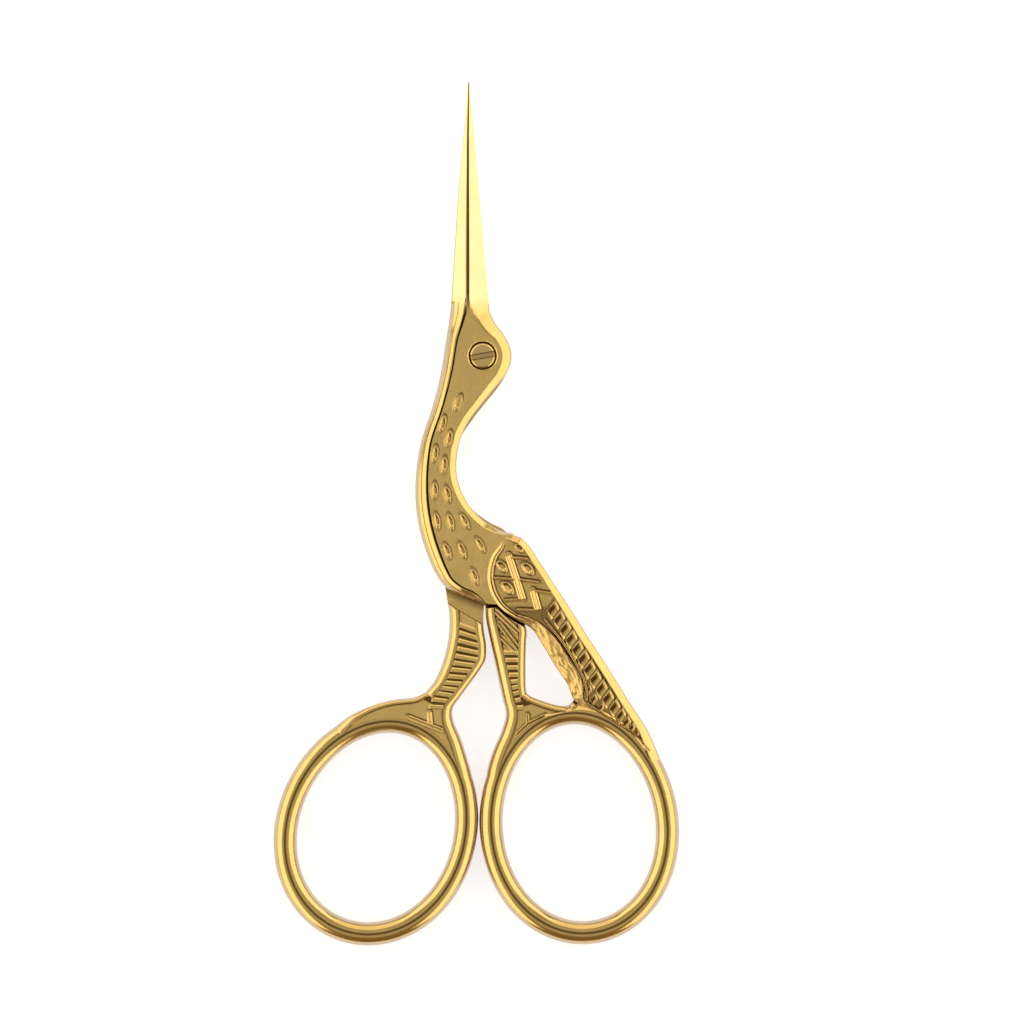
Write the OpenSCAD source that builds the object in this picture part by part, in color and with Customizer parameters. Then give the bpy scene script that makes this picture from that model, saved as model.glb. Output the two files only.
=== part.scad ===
// Stork embroidery scissors: two forged halves that turn on one slotted screw.
// Millimetres. The origin is on the screw's axis, on the plane that the closed
// scissors lie on. +Z points up, +Y to the blade tips, +X to the stork's back.

/* [Body] */
// Thickness of the closed pair at the flat round the screw
pair_t = 3.4; // [3.2:0.1:3.8]
// Gap between the two sliding faces
slide_gap = 0.06; // [0.04:0.01:0.1]
// Gap between the wing's side wall and the half that passes under it
side_gap = 0.2; // [0.15:0.05:0.3]
// How far the back neck shows past the front one
back_peek = 0.25; // [0.1:0.05:0.3]
// Depth of the sunk panels below the rims round them
panel_drop = 0.3; // [0.2:0.05:0.4]
// Width of the step from a rim down to its panel
rim_step = 0.15; // [0.1:0.01:0.2]

/* [Rings] */
// Width of the ring wire, seen from above
wire_w = 3.15; // [2.85:0.05:3.2]
// Long half-axis of the left ring's hole
left_hole_major = 12.9; // [12.5:0.1:13.1]
// Short half-axis of the left ring's hole
left_hole_minor = 10.3; // [10.0:0.1:10.4]
// Lean of the left ring, top to the right
left_lean = 18; // [15:1:20]
// Long half-axis of the right ring's hole
right_hole_major = 13.2; // [12.8:0.1:13.3]
// Short half-axis of the right ring's hole
right_hole_minor = 10.2; // [10.0:0.1:10.3]
// Lean of the right ring, top to the left
right_lean = -6; // [-8:1:-4]
// How much narrower a ring is at its top than an ellipse
ring_egg = 0.04; // [0:0.01:0.06]

/* [Screw] */
// Diameter of the screw head
head_d = 3.5; // [3.2:0.1:3.6]
// Height of the screw head
head_h = 0.9; // [0.8:0.05:1.0]
// How far the head stands above the flat
head_proud = 0.12; // [0.05:0.01:0.2]
// Diameter of the counterbore round the head
sink_d = 3.76; // [3.7:0.02:3.9]
// Diameter of the shank
shank_d = 2.0; // [1.8:0.1:2.2]
// Radial clearance of the shank in the front half
shank_clear = 0.05; // [0.03:0.01:0.08]
// Width of the driver slot
slot_w = 0.64; // [0.5:0.02:0.8]
// Depth of the driver slot
slot_deep = 0.45; // [0.3:0.05:0.5]
// Turn of the driver slot
slot_turn = 10; // [0:5:45]

/* [Feathers] */
// Length of a neck feather
feather_l = 2.6; // [2.2:0.1:2.8]
// Width of a neck feather
feather_w = 0.95; // [0.8:0.05:1.1]
// Height of the raised marks
mark_h = 0.2; // [0.1:0.05:0.25]
// Rungs on the back leg
back_rungs = 13; // [8:1:16]
// Rungs on the front leg
front_rungs = 10; // [6:1:12]
// Leaves down the tail
tail_leaves = 15; // [8:1:18]

/* [Hidden] */

mid = pair_t / 2;
half_t = (pair_t - slide_gap) / 2;
// A cut passes this far beyond the face it leaves by
over = 1;
// Marks start this far below the surface they stand on
bury = 0.25;
front_gold = [0.86, 0.70, 0.36];
back_gold = [0.80, 0.64, 0.32];
screw_gold = [0.72, 0.58, 0.32];

// Both halves have this blade, head, neck and breast. A row is a line across it:
// edge x, y on the belly side, edge x, y on the back side, bevel width on each
// side, then the edge's and the top's height as shares of half_t.
blade_rows = [
    [-1.93, 36.7, -1.77, 36.7, 0.05, 0.05, 0.08, 0.24],
    [-2.54, 30.0, -1.16, 30.0, 0.54, 0.72, 0.10, 0.42],
    [-3.24, 22.0, -0.46, 22.0, 1.24, 1.42, 0.13, 0.60],
    [-3.76, 14.0, 0.20, 14.0, 1.76, 2.08, 0.17, 0.75],
    [-4.12, 8.0, 0.72, 8.0, 2.12, 2.60, 0.22, 0.88]];
neck_rows = [
    [-4.30, 6.0, 0.90, 6.0, 2.15, 2.60, 0.26, 0.94],
    [-4.55, 4.3, 1.70, 4.35, 1.90, 2.20, 0.32, 0.98],
    [-4.82, 2.6, 2.75, 3.0, 1.60, 1.70, 0.38, 1],
    [-5.10, 0.8, 3.68, 1.2, 1.55, 1.55, 0.42, 1],
    [-5.38, -1.0, 3.85, -0.6, 1.55, 1.50, 0.42, 1],
    [-5.75, -3.0, 3.10, -2.5, 1.50, 1.35, 0.42, 1],
    [-6.28, -5.2, 1.65, -4.3, 1.47, 1.20, 0.42, 0.98],
    [-6.95, -7.5, -0.15, -6.5, 1.44, 1.10, 0.42, 0.92],
    [-7.65, -9.5, -1.75, -8.6, 1.42, 1.07, 0.42, 0.88],
    [-8.25, -11.5, -2.85, -10.8, 1.45, 1.05, 0.42, 0.88],
    [-8.72, -14.0, -3.42, -13.2, 1.58, 1.02, 0.42, 0.88],
    [-8.98, -16.8, -3.47, -15.8, 1.70, 1.00, 0.42, 0.88],
    [-8.97, -19.6, -2.80, -18.2, 1.80, 1.00, 0.42, 0.88],
    [-8.62, -22.4, -1.50, -20.4, 1.85, 0.98, 0.42, 0.88],
    [-7.97, -25.0, 0.45, -22.3, 1.85, 0.95, 0.42, 0.88],
    [-7.10, -27.4, 2.60, -23.45, 1.80, 0.50, 0.42, 0.88],
    [-6.25, -29.2, 4.20, -24.05, 1.70, 0.18, 0.42, 0.88],
    [-5.10, -30.8, 2.10, -26.6, 1.50, 0.25, 0.42, 0.88],
    [-3.40, -32.0, 1.35, -29.4, 1.35, 0.25, 0.42, 0.88],
    [-1.40, -32.8, 1.50, -31.3, 1.20, 0.25, 0.42, 0.88],
    [0.35, -33.5, 2.50, -33.2, 0.40, 0.25, 0.42, 0.88]];
// Rows whose back-side edge shows past the front half
peek_rows = [6, 7, 8, 14, 15];

// Rows down the wing and the tail, full thickness: edge on the belly side, edge
// on the back side, then the two bevel widths
wing_rows = [
    [3.40, -24.1, 4.40, -23.9, 0.20, 0.20],
    [2.20, -25.3, 5.30, -24.4, 0.45, 0.80],
    [1.20, -26.6, 6.45, -25.7, 0.80, 1.00],
    [0.70, -28.3, 7.55, -27.4, 0.90, 1.05],
    [0.62, -30.1, 8.60, -29.0, 0.90, 1.05],
    [1.20, -32.1, 9.70, -30.7, 0.90, 1.05],
    [2.50, -33.9, 10.9, -32.5, 0.80, 1.05],
    [4.30, -35.2, 12.0, -34.2, 0.80, 1.05],
    [6.60, -36.6, 13.0, -35.8, 0.90, 1.05],
    [8.10, -38.8, 14.1, -37.6, 1.20, 1.05],
    [9.70, -41.5, 15.45, -39.6, 1.30, 1.05],
    [11.2, -43.9, 16.85, -41.8, 1.30, 1.05],
    [12.1, -45.7, 18.3, -44.1, 1.20, 1.05],
    [14.2, -46.7, 19.6, -46.2, 0.60, 1.05],
    [16.6, -48.1, 20.9, -48.2, 0.40, 1.05],
    [19.0, -49.8, 22.1, -50.1, 0.30, 0.95],
    [20.4, -51.3, 22.85, -52.0, 0.30, 0.70]];

// Rows down the front leg to where it runs into the right ring
front_leg_rows = [
    [0.40, -32.7, 4.80, -34.0, 0.70, 0.60],
    [0.42, -35.0, 5.85, -36.6, 1.20, 0.90],
    [0.94, -37.8, 5.84, -38.2, 1.35, 0.95],
    [1.55, -40.6, 5.78, -40.6, 1.35, 0.95],
    [2.12, -43.4, 5.78, -43.2, 1.35, 0.95],
    [2.68, -46.0, 6.10, -45.4, 1.30, 0.70],
    [3.08, -48.0, 6.60, -48.4, 1.20, 0.60],
    [2.52, -50.2, 5.30, -51.2, 1.00, 0.60],
    [1.48, -52.6, 3.90, -53.6, 0.90, 0.50],
    [0.50, -55.3, 2.60, -56.2, 0.70, 0.50]];

// Rows down the back leg, from behind the breast to the left ring
back_leg_rows = [
    [-5.30, -30.9, 0.30, -32.4, 0.90, 0.60],
    [-4.80, -32.8, 0.10, -34.6, 1.20, 0.90],
    [-4.48, -34.8, 0.14, -36.6, 1.30, 1.00],
    [-4.52, -37.2, 0.45, -38.6, 1.30, 1.00],
    [-4.95, -39.6, 0.40, -40.6, 1.30, 1.00],
    [-5.60, -41.7, -0.45, -42.2, 1.30, 1.00],
    [-6.50, -43.6, -1.75, -44.0, 1.25, 1.00],
    [-7.60, -45.0, -3.05, -45.8, 1.10, 1.00],
    [-8.60, -47.2, -4.00, -47.3, 0.80, 1.00],
    [-8.20, -49.6, -3.85, -49.0, 0.60, 1.00],
    [-6.60, -51.8, -2.85, -51.4, 0.50, 0.90],
    [-4.90, -54.0, -2.00, -54.0, 0.50, 0.80],
    [-3.60, -56.4, -1.20, -56.4, 0.50, 0.60]];

// Plates between a leg's foot and its ring, along the ring: lower edge, upper edge
front_foot_rows = [
    [3.40, -51.6, 3.60, -47.4, 0.30, 0.30],
    [6.20, -50.4, 6.00, -45.0, 0.30, 0.75],
    [8.60, -49.7, 8.40, -46.0, 0.30, 0.90],
    [10.8, -49.3, 10.6, -46.85, 0.30, 0.80],
    [12.4, -49.3, 11.9, -46.5, 0.30, 0.60],
    [14.2, -49.5, 13.0, -45.3, 0.30, 0.30],
    [17.6, -50.7, 16.4, -47.9, 0.30, 0.30],
    [20.0, -52.4, 19.2, -49.9, 0.30, 0.30],
    [21.8, -54.0, 21.8, -51.4, 0.30, 0.30]];
back_foot_rows = [
    [-19.0, -50.6, -19.4, -49.3, 0.30, 0.30],
    [-17.2, -49.9, -17.5, -48.0, 0.30, 0.50],
    [-14.8, -49.2, -14.9, -46.85, 0.30, 0.70],
    [-12.4, -49.0, -12.2, -46.1, 0.30, 0.80],
    [-9.80, -49.8, -9.20, -45.75, 0.30, 0.90],
    [-7.20, -51.4, -7.00, -45.2, 0.30, 0.60],
    [-5.40, -53.0, -4.60, -48.6, 0.30, 0.30]];
foot_drop = 0.35;

// The step behind the breast: on its upper side the back half is sunk to half
// height, so that the front breast slides over it
landing_step = [[-8, -30.7], [-4.5, -33.1], [-3.2, -34.0], [0.6, -36.2], [6, -36.2], [6, -26], [-8, -26]];

left_centre = [-14.15, -63.13];
right_centre = [12.88, -62.52];
ring_stations = 44;
wire_sides = 12;

// Neck feathers: place and lean, top to the right
feathers = [
    [-3.26, -6.3, 20], [-5.35, -9.1, 15], [-4.49, -11.1, 12], [-6.35, -13.1, 8], [-5.13, -14.6, 5],
    [-6.40, -18.0, 0], [-4.68, -18.5, -12], [-6.10, -22.1, -10], [-4.30, -22.2, -15], [-2.41, -22.1, -28],
    [-4.75, -26.1, -22], [-2.75, -26.0, -22], [-0.31, -25.3, -30], [-1.09, -29.5, -20]];

// Zigzags, bars and seeds of the wing
wing_lines = [
    [[6.2, -27.2], [3.3, -26.5], [5.5, -32.6], [2.45, -32.5]],
    [[1.55, -29.5], [3.83, -29.7]],
    [[5.1, -30.1], [7.7, -30.3]],
    [[9.3, -32.1], [6.4, -31.2], [7.6, -33.9], [4.6, -33.8]]];
wing_seeds = [[4.8, -25.65], [2.55, -28.2], [6.0, -28.5], [3.3, -31.2]];
seed_l = 1.7;
seed_w = 1.0;
seed_lean = 45;
line_w = 0.42;

// Points of a smooth curve through the rows, with n steps between two rows
function blend(a, b, c, d, t) =
    0.5 * (2 * b + (c - a) * t + (2 * a - 5 * b + 4 * c - d) * t * t + (3 * b - a - 3 * c + d) * t * t * t);
function smooth(rows, n) =
    let (last = len(rows) - 1)
    [for (i = [0 : last - 1], k = [0 : n - 1])
        blend(rows[max(i - 1, 0)], rows[i], rows[i + 1], rows[min(i + 2, last)], k / n),
     rows[last]];

// A row between two rows, at a fractional place
function row_at(rows, s) = let (i = floor(s)) rows[i] + (rows[i + 1] - rows[i]) * (s - i);

// A point set in from one edge of a row: column 0 is the belly edge, 2 the back edge
function set_in(rows, i, column, inset, z) =
    let (before = rows[max(i - 1, 0)],
         after = rows[min(i + 1, len(rows) - 1)],
         run = [after[column] - before[column], after[column + 1] - before[column + 1]],
         along = run / norm(run),
         side = column == 0 ? 1 : -1)
    [rows[i][column] - along.y * inset * side, rows[i][column + 1] + along.x * inset * side, z];

// Cross-section of a half-thickness row: flat inner face at z = 0, bevelled outer face
function neck_section(rows, i) =
    let (r = rows[i], edge = r[6] * half_t, top = r[7] * half_t, knee = edge + 0.6 * (top - edge))
    [set_in(rows, i, 0, 0, 0), set_in(rows, i, 0, 0, edge),
     set_in(rows, i, 0, r[4] / 2, knee), set_in(rows, i, 0, r[4], top),
     set_in(rows, i, 2, r[5], top), set_in(rows, i, 2, r[5] / 2, knee),
     set_in(rows, i, 2, 0, edge), set_in(rows, i, 2, 0, 0)];

// Upper outline of a full-thickness row: a rim on both edges and a sunk panel between
function rim_profile(rows, i, drop, way) =
    let (r = rows[i], edge = 0.45 * half_t, top = half_t - foot_share(drop), knee = edge + 0.65 * (top - edge),
         panel = half_t - drop)
    [set_in(rows, i, 0, 0, mid + way * edge), set_in(rows, i, 0, r[4] / 2, mid + way * knee),
     set_in(rows, i, 0, r[4], mid + way * top), set_in(rows, i, 0, r[4] + rim_step, mid + way * panel),
     set_in(rows, i, 2, r[5] + rim_step, mid + way * panel), set_in(rows, i, 2, r[5], mid + way * top),
     set_in(rows, i, 2, r[5] / 2, mid + way * knee), set_in(rows, i, 2, 0, mid + way * edge)];
function foot_share(drop) = drop == foot_drop ? foot_drop - 0.02 : 0.02;
function reversed(list) = [for (i = [len(list) - 1 : -1 : 0]) list[i]];

// Solid through a run of closed cross-sections that have the same number of points
module loft(loops, closed = false) {
    n = len(loops[0]);
    m = len(loops);
    sides = [for (i = [0 : closed ? m - 1 : m - 2], k = [0 : n - 1])
        let (j = (i + 1) % m, l = (k + 1) % n)
        each [[i * n + k, i * n + l, j * n + l], [i * n + k, j * n + l, j * n + k]]];
    first = [for (k = [0 : n / 2 - 2])
        each [[k, n - 1 - k, n - 2 - k], [k, n - 2 - k, k + 1]]];
    last = [for (f = first) [f[0], f[2], f[1]] + (m - 1) * n * [1, 1, 1]];
    polyhedron(points = [for (loop = loops) each loop], faces = closed ? sides : concat(sides, first, last));
}

// Blade, head, neck and breast of one half, inner face on z = 0
module neck(rows) {
    loft([for (i = [0 : len(rows) - 1]) neck_section(rows, i)]);
}

// Strip of full thickness with rims and a sunk panel on both faces
module strip(rows, drop) {
    loft([for (i = [0 : len(rows) - 1])
        concat(rim_profile(rows, i, drop, 1), reversed(rim_profile(rows, i, drop, -1)))]);
}

// Finger ring: an oval wire swept round a leaning egg shape
module ring(centre, major, minor, lean) {
    function spot(a) =
        let (u = (minor + wire_w / 2) * (1 - ring_egg * sin(a)) * cos(a), v = (major + wire_w / 2) * sin(a))
        centre + [u * cos(lean) + v * sin(lean), v * cos(lean) - u * sin(lean)];
    loft([for (i = [0 : ring_stations - 1])
        let (a = 360 * i / ring_stations, p = spot(a), run = spot(a + 1) - spot(a - 1), out = [run.y, -run.x] / norm(run))
        [for (s = [0 : 360 / wire_sides : 359])
            [p.x + out.x * cos(s) * wire_w / 2, p.y + out.y * cos(s) * wire_w / 2, mid + sin(s) * pair_t / 2]]],
        closed = true);
}

// Raised oval with a slot down its middle
module bean(length, width, height) {
    oval = [for (a = [0 : 30 : 330]) [cos(a) * width / 2, sin(a) * length / 2]];
    linear_extrude(height)
        difference() {
            polygon(oval);
            polygon(oval * 0.45);
        }
}

// Raised line along a path, one bar for each stretch
module line(path, width, height) {
    for (i = [0 : len(path) - 2]) {
        run = path[i + 1] - path[i];
        translate(path[i])
            rotate(atan2(run.y, run.x))
                translate([-width / 2, -width / 2, 0])
                    cube([norm(run) + width, width, height]);
    }
}

// Feathers of a neck whose inner face is on z = 0
module neck_feathers() {
    for (f = feathers)
        translate([f.x, f.y, 0.88 * half_t - bury])
            rotate(-f[2])
                bean(feather_l, feather_w, bury + mark_h * 0.8);
}

// Rungs across the panel of a leg, on the upper face
module rungs(rows, first, pitch, count) {
    for (k = [0 : count - 1]) {
        r = row_at(rows, first + k * pitch);
        across = [r[2] - r[0], r[3] - r[1]];
        width = norm(across);
        translate([r[0], r[1], mid + half_t - panel_drop - bury])
            rotate(atan2(across.y, across.x))
                translate([r[4] - rim_step / 2, -0.2, 0])
                    cube([width - r[4] - r[5] + rim_step, 0.4, bury + mark_h]);
    }
}

// Curved leaves down the middle of the tail, on the upper face
module tail_braid() {
    head = [9.3, -34.0];
    tip = [19.6, -49.4];
    run = tip - head;
    for (k = [0 : tail_leaves - 1]) {
        s = k / (tail_leaves - 1);
        size = 1.9 * (1 - 0.55 * s);
        translate([head.x + run.x * s, head.y + run.y * s, mid + half_t - panel_drop - bury])
            rotate(atan2(run.y, run.x) + 60)
                linear_extrude(bury + mark_h)
                    polygon([for (a = [0 : 36 : 324]) [cos(a) * size / 2, sin(a) * 0.42 + 0.18 * cos(a) * cos(a)]]);
    }
}

// Zigzags, bars and seeds of the wing, on the upper face
module wing_marks() {
    translate([0, 0, mid + half_t - panel_drop - bury]) {
        for (path = wing_lines)
            line(path, line_w, bury + mark_h);
        for (s = wing_seeds)
            translate(s)
                rotate(seed_lean)
                    bean(seed_l, seed_w, bury + mark_h);
    }
}

// The same marks on the upper face and, mirrored, on the lower face
module both_faces() {
    children();
    translate([0, 0, pair_t])
        mirror([0, 0, 1])
            children();
}

// Plan of the room that the wing and the front leg take, with the side gap round them
module wing_room() {
    wing = smooth(wing_rows, 2);
    leg = smooth(front_leg_rows, 2);
    arc = [for (i = [0 : 10]) [wing[i][0] - side_gap, wing[i][1] + side_gap / 2]];
    shin = [for (i = [0 : 3]) [leg[i][0] - side_gap, leg[i][1] + side_gap * (i == 0 ? 2 : 0.5)]];
    polygon(concat([[5, -22.5]], arc, shin, [[9, -37], [9, -22.5]]));
}

// Blade, head, neck and breast rows; out moves the back-side edge past the front one
function half_rows(out) =
    concat(blade_rows, smooth([for (i = [0 : len(neck_rows) - 1])
        let (r = neck_rows[i], way = set_in(neck_rows, i, 2, -out, 0), shown = len(search(i, peek_rows)) > 0)
        [r[0], r[1], shown ? way.x : r[2], shown ? way.y : r[3], r[4], r[5], r[6], r[7]]], 3));

module front_half() {
    leg = smooth(front_leg_rows, 2);
    color(front_gold)
        difference() {
            union() {
                translate([0, 0, mid + slide_gap / 2]) {
                    neck(half_rows(0));
                    neck_feathers();
                }
                strip(smooth(wing_rows, 2), panel_drop);
                strip(leg, panel_drop);
                strip(smooth(front_foot_rows, 2), foot_drop);
                ring(right_centre, right_hole_major, right_hole_minor, right_lean);
                both_faces() {
                    wing_marks();
                    tail_braid();
                    rungs(leg, 3.0, 0.75, front_rungs);
                }
            }
            translate([0, 0, -over])
                cylinder(d = shank_d + 2 * shank_clear, h = pair_t + 2 * over, $fn = 48);
            translate([0, 0, pair_t + head_proud - head_h - 0.02])
                cylinder(d = sink_d, h = head_h + over, $fn = 64);
        }
}

module back_half() {
    leg = smooth(back_leg_rows, 2);
    color(back_gold)
        difference() {
            union() {
                difference() {
                    union() {
                        translate([0, 0, mid - slide_gap / 2])
                            mirror([0, 0, 1]) {
                                neck(half_rows(back_peek));
                                neck_feathers();
                            }
                        strip(leg, panel_drop);
                    }
                    translate([0, 0, mid - slide_gap / 2])
                        linear_extrude(pair_t)
                            polygon(landing_step);
                    translate([0, 0, -over])
                        linear_extrude(pair_t + 2 * over)
                            wing_room();
                }
                strip(smooth(back_foot_rows, 2), foot_drop);
                ring(left_centre, left_hole_major, left_hole_minor, left_lean);
                both_faces()
                    rungs(leg, 4.6, 0.76, back_rungs);
            }
            translate([0, 0, -over])
                cylinder(d = shank_d, h = pair_t, $fn = 48);
        }
}

module pivot_screw() {
    edge = 0.15;
    r = head_d / 2;
    top = pair_t + head_proud;
    color(screw_gold)
        difference() {
            rotate_extrude($fn = 64)
                polygon([[0, 0], [shank_d / 2, 0], [shank_d / 2, top - head_h], [r, top - head_h],
                    [r, top - edge], [r - edge, top], [0, top]]);
            translate([0, 0, top - slot_deep])
                rotate(slot_turn)
                    translate([-head_d, -slot_w / 2, 0])
                        cube([2 * head_d, slot_w, slot_deep + over]);
        }
}

front_half();
back_half();
pivot_screw();
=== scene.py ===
"""Stork embroidery scissors: the polished and satin brass look over the two halves and the screw."""

import math

import bpy
import numpy as np
from bpy.props import FloatProperty, FloatVectorProperty, IntProperty, PointerProperty
from bpy.types import Operator, Panel, PropertyGroup
from mathutils.kdtree import KDTree
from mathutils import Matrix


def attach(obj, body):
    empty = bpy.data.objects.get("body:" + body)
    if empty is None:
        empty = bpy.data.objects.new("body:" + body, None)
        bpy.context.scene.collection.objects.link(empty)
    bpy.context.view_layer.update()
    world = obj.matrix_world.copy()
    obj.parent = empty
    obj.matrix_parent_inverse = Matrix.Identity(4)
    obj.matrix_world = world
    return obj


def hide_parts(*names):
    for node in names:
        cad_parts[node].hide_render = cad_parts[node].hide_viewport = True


bl_info = {
    "name": "Stork Embroidery Scissors",
    "version": (1, 0, 0),
    "blender": (4, 2, 0),
    "location": "View3D > Sidebar > Scissors",
    "description": "Dresses the two halves and the screw of stork-shaped embroidery scissors",
    "category": "Add Mesh",
}

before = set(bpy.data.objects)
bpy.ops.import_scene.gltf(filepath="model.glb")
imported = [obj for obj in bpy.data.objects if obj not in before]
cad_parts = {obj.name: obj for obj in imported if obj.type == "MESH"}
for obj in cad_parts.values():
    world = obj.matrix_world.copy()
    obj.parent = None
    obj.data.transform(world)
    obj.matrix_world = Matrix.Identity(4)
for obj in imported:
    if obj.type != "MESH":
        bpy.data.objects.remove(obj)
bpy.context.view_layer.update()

MM = 0.001
THICK = 3.4
MID = THICK / 2
GAP = 0.06
HALF = (THICK - GAP) / 2
PANEL_DEPTH = 0.3
PANEL_LEVEL = MID + HALF - PANEL_DEPTH
FOOT_DEPTH = 0.1
CLAW_LEVEL = MID + 1.40

# Outlines, in millimetres.
# A row: edge x, y on the belly side, edge x, y on the back side, then the two border widths.
# Rows of the blade and the neck end with the heights of the edge and the top, as shares of HALF.
BLADE_ROWS = [
    [-1.93, 36.7, -1.77, 36.7, 0.05, 0.05, 0.19, 0.22],
    [-2.54, 30.0, -1.16, 30.0, 0.54, 0.72, 0.18, 0.37],
    [-3.24, 22.0, -0.46, 22.0, 1.24, 1.42, 0.17, 0.58],
    [-3.76, 14.0, 0.20, 14.0, 1.76, 2.08, 0.17, 0.75],
    [-4.12, 8.0, 0.72, 8.0, 2.12, 2.60, 0.22, 0.88],
]
NECK_ROWS = [
    [-4.30, 6.0, 0.90, 6.0, 2.15, 2.60, 0.26, 0.94],
    [-4.55, 4.3, 1.70, 4.35, 1.90, 2.20, 0.32, 0.98],
    [-4.82, 2.6, 2.75, 3.0, 1.60, 1.70, 0.38, 1],
    [-5.10, 0.8, 3.68, 1.2, 1.55, 1.55, 0.42, 1],
    [-5.38, -1.0, 3.85, -0.6, 1.55, 1.50, 0.42, 1],
    [-5.75, -3.0, 3.10, -2.5, 1.50, 1.35, 0.42, 1],
    [-6.28, -5.2, 1.65, -4.3, 1.47, 1.20, 0.42, 0.98],
    [-6.95, -7.5, -0.15, -6.5, 1.44, 1.10, 0.42, 0.92],
    [-7.65, -9.5, -1.75, -8.6, 1.42, 1.07, 0.42, 0.88],
    [-8.25, -11.5, -2.85, -10.8, 1.45, 1.05, 0.42, 0.88],
    [-8.72, -14.0, -3.42, -13.2, 1.58, 1.02, 0.42, 0.88],
    [-8.98, -16.8, -3.47, -15.8, 1.70, 1.00, 0.42, 0.88],
    [-8.97, -19.6, -2.80, -18.2, 1.80, 1.00, 0.42, 0.88],
    [-8.62, -22.4, -1.50, -20.4, 1.85, 0.98, 0.42, 0.88],
    [-7.97, -25.0, 0.45, -22.3, 1.85, 0.95, 0.42, 0.88],
    [-7.10, -27.4, 2.60, -23.45, 1.80, 0.60, 0.42, 0.88],
    [-6.25, -29.2, 4.20, -24.05, 1.70, 0.16, 0.42, 0.88],
    [-5.10, -30.8, 2.10, -26.6, 1.50, 0.25, 0.42, 0.88],
    [-3.40, -32.0, 1.35, -29.4, 1.35, 0.25, 0.42, 0.88],
    [-1.40, -32.8, 1.50, -31.3, 1.20, 0.25, 0.42, 0.88],
    [0.35, -33.5, 2.50, -33.2, 0.40, 0.25, 0.42, 0.88],
]
PEEK_ROWS = [6, 7, 8, 14, 15]
WING_ROWS = [
    [2.45, -24.5, 3.25, -23.72, 0.35, 0.70],
    [2.35, -25.0, 4.35, -24.06, 0.60, 0.80],
    [2.00, -25.6, 5.32, -24.48, 0.75, 0.78],
    [1.20, -26.7, 6.45, -25.7, 0.85, 0.80],
    [0.70, -28.3, 7.55, -27.4, 0.90, 0.80],
    [0.62, -30.1, 8.60, -29.0, 0.90, 0.80],
    [1.20, -32.1, 9.70, -30.7, 0.90, 0.85],
    [2.50, -33.9, 10.9, -32.5, 0.80, 0.95],
    [4.30, -35.2, 12.0, -34.2, 0.80, 1.05],
    [6.60, -36.6, 13.0, -35.8, 1.30, 1.05],
    [8.10, -38.8, 14.1, -37.6, 2.00, 1.05],
    [9.70, -41.5, 15.45, -39.6, 2.20, 1.05],
    [11.3, -43.9, 16.85, -41.8, 2.10, 1.05],
    [12.2, -46.0, 18.3, -44.1, 1.50, 1.05],
    [13.6, -47.2, 19.6, -46.2, 0.60, 1.05],
    [16.3, -48.5, 20.9, -48.2, 0.42, 1.05],
    [18.8, -50.0, 22.1, -50.1, 0.40, 1.15],
    [20.7, -51.7, 23.1, -52.3, 0.50, 1.45],
    [21.8, -53.3, 23.75, -54.0, 0.70, 1.25],
]
FRONT_LEG_ROWS = [
    [0.40, -32.7, 4.80, -34.0, 1.00, 0.60],
    [0.42, -35.0, 5.85, -36.6, 1.20, 0.95],
    [0.94, -37.8, 5.84, -38.2, 1.35, 1.00],
    [1.55, -40.6, 5.78, -40.6, 1.40, 1.00],
    [2.12, -43.4, 5.78, -43.2, 1.45, 1.00],
    [2.68, -46.0, 5.88, -45.0, 1.45, 0.95],
    [3.08, -48.0, 6.60, -48.4, 1.50, 0.90],
    [2.52, -50.2, 5.30, -51.2, 1.55, 0.90],
    [1.48, -52.6, 3.90, -53.6, 1.57, 0.90],
    [0.74, -54.9, 2.75, -55.8, 1.57, 0.90],
    [0.32, -57.2, 2.20, -57.9, 1.57, 0.90],
]
BACK_LEG_ROWS = [
    [-5.00, -30.9, 0.30, -32.4, 0.90, 0.60],
    [-4.72, -32.8, 0.10, -34.6, 1.20, 0.90],
    [-4.48, -34.8, 0.14, -36.6, 1.30, 1.00],
    [-4.52, -37.2, 0.45, -38.6, 1.30, 1.00],
    [-4.95, -39.6, 0.40, -40.6, 1.30, 1.00],
    [-5.60, -41.7, -0.45, -42.2, 1.30, 1.00],
    [-6.50, -43.6, -1.75, -44.0, 1.25, 1.00],
    [-7.60, -45.0, -3.05, -45.8, 1.20, 1.05],
    [-8.60, -47.2, -4.00, -47.3, 1.20, 1.20],
    [-8.20, -49.6, -3.85, -49.0, 1.20, 1.40],
    [-6.60, -51.8, -2.85, -51.4, 1.20, 1.50],
    [-5.10, -53.8, -2.02, -54.0, 1.20, 1.57],
    [-4.00, -55.8, -1.50, -55.9, 1.20, 1.57],
    [-3.30, -57.8, -1.07, -58.0, 1.20, 1.57],
]
FRONT_FOOT_ROWS = [
    [3.40, -51.6, 3.60, -46.6, 1.57, 0.80],
    [6.20, -50.4, 5.35, -44.95, 1.57, 0.80],
    [7.20, -50.05, 6.55, -45.62, 1.57, 0.75],
    [8.90, -49.6, 8.67, -46.42, 1.57, 0.75],
    [10.8, -49.3, 10.5, -46.85, 1.57, 0.75],
    [12.2, -49.3, 11.5, -46.75, 1.57, 0.75],
    [13.4, -49.4, 12.7, -45.8, 1.57, 0.80],
    [15.2, -49.8, 14.4, -46.6, 1.57, 0.90],
    [17.6, -50.7, 16.4, -47.9, 1.57, 0.90],
    [20.0, -52.4, 19.2, -49.9, 1.57, 0.90],
    [21.8, -54.0, 21.8, -51.4, 1.57, 0.90],
]
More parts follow.
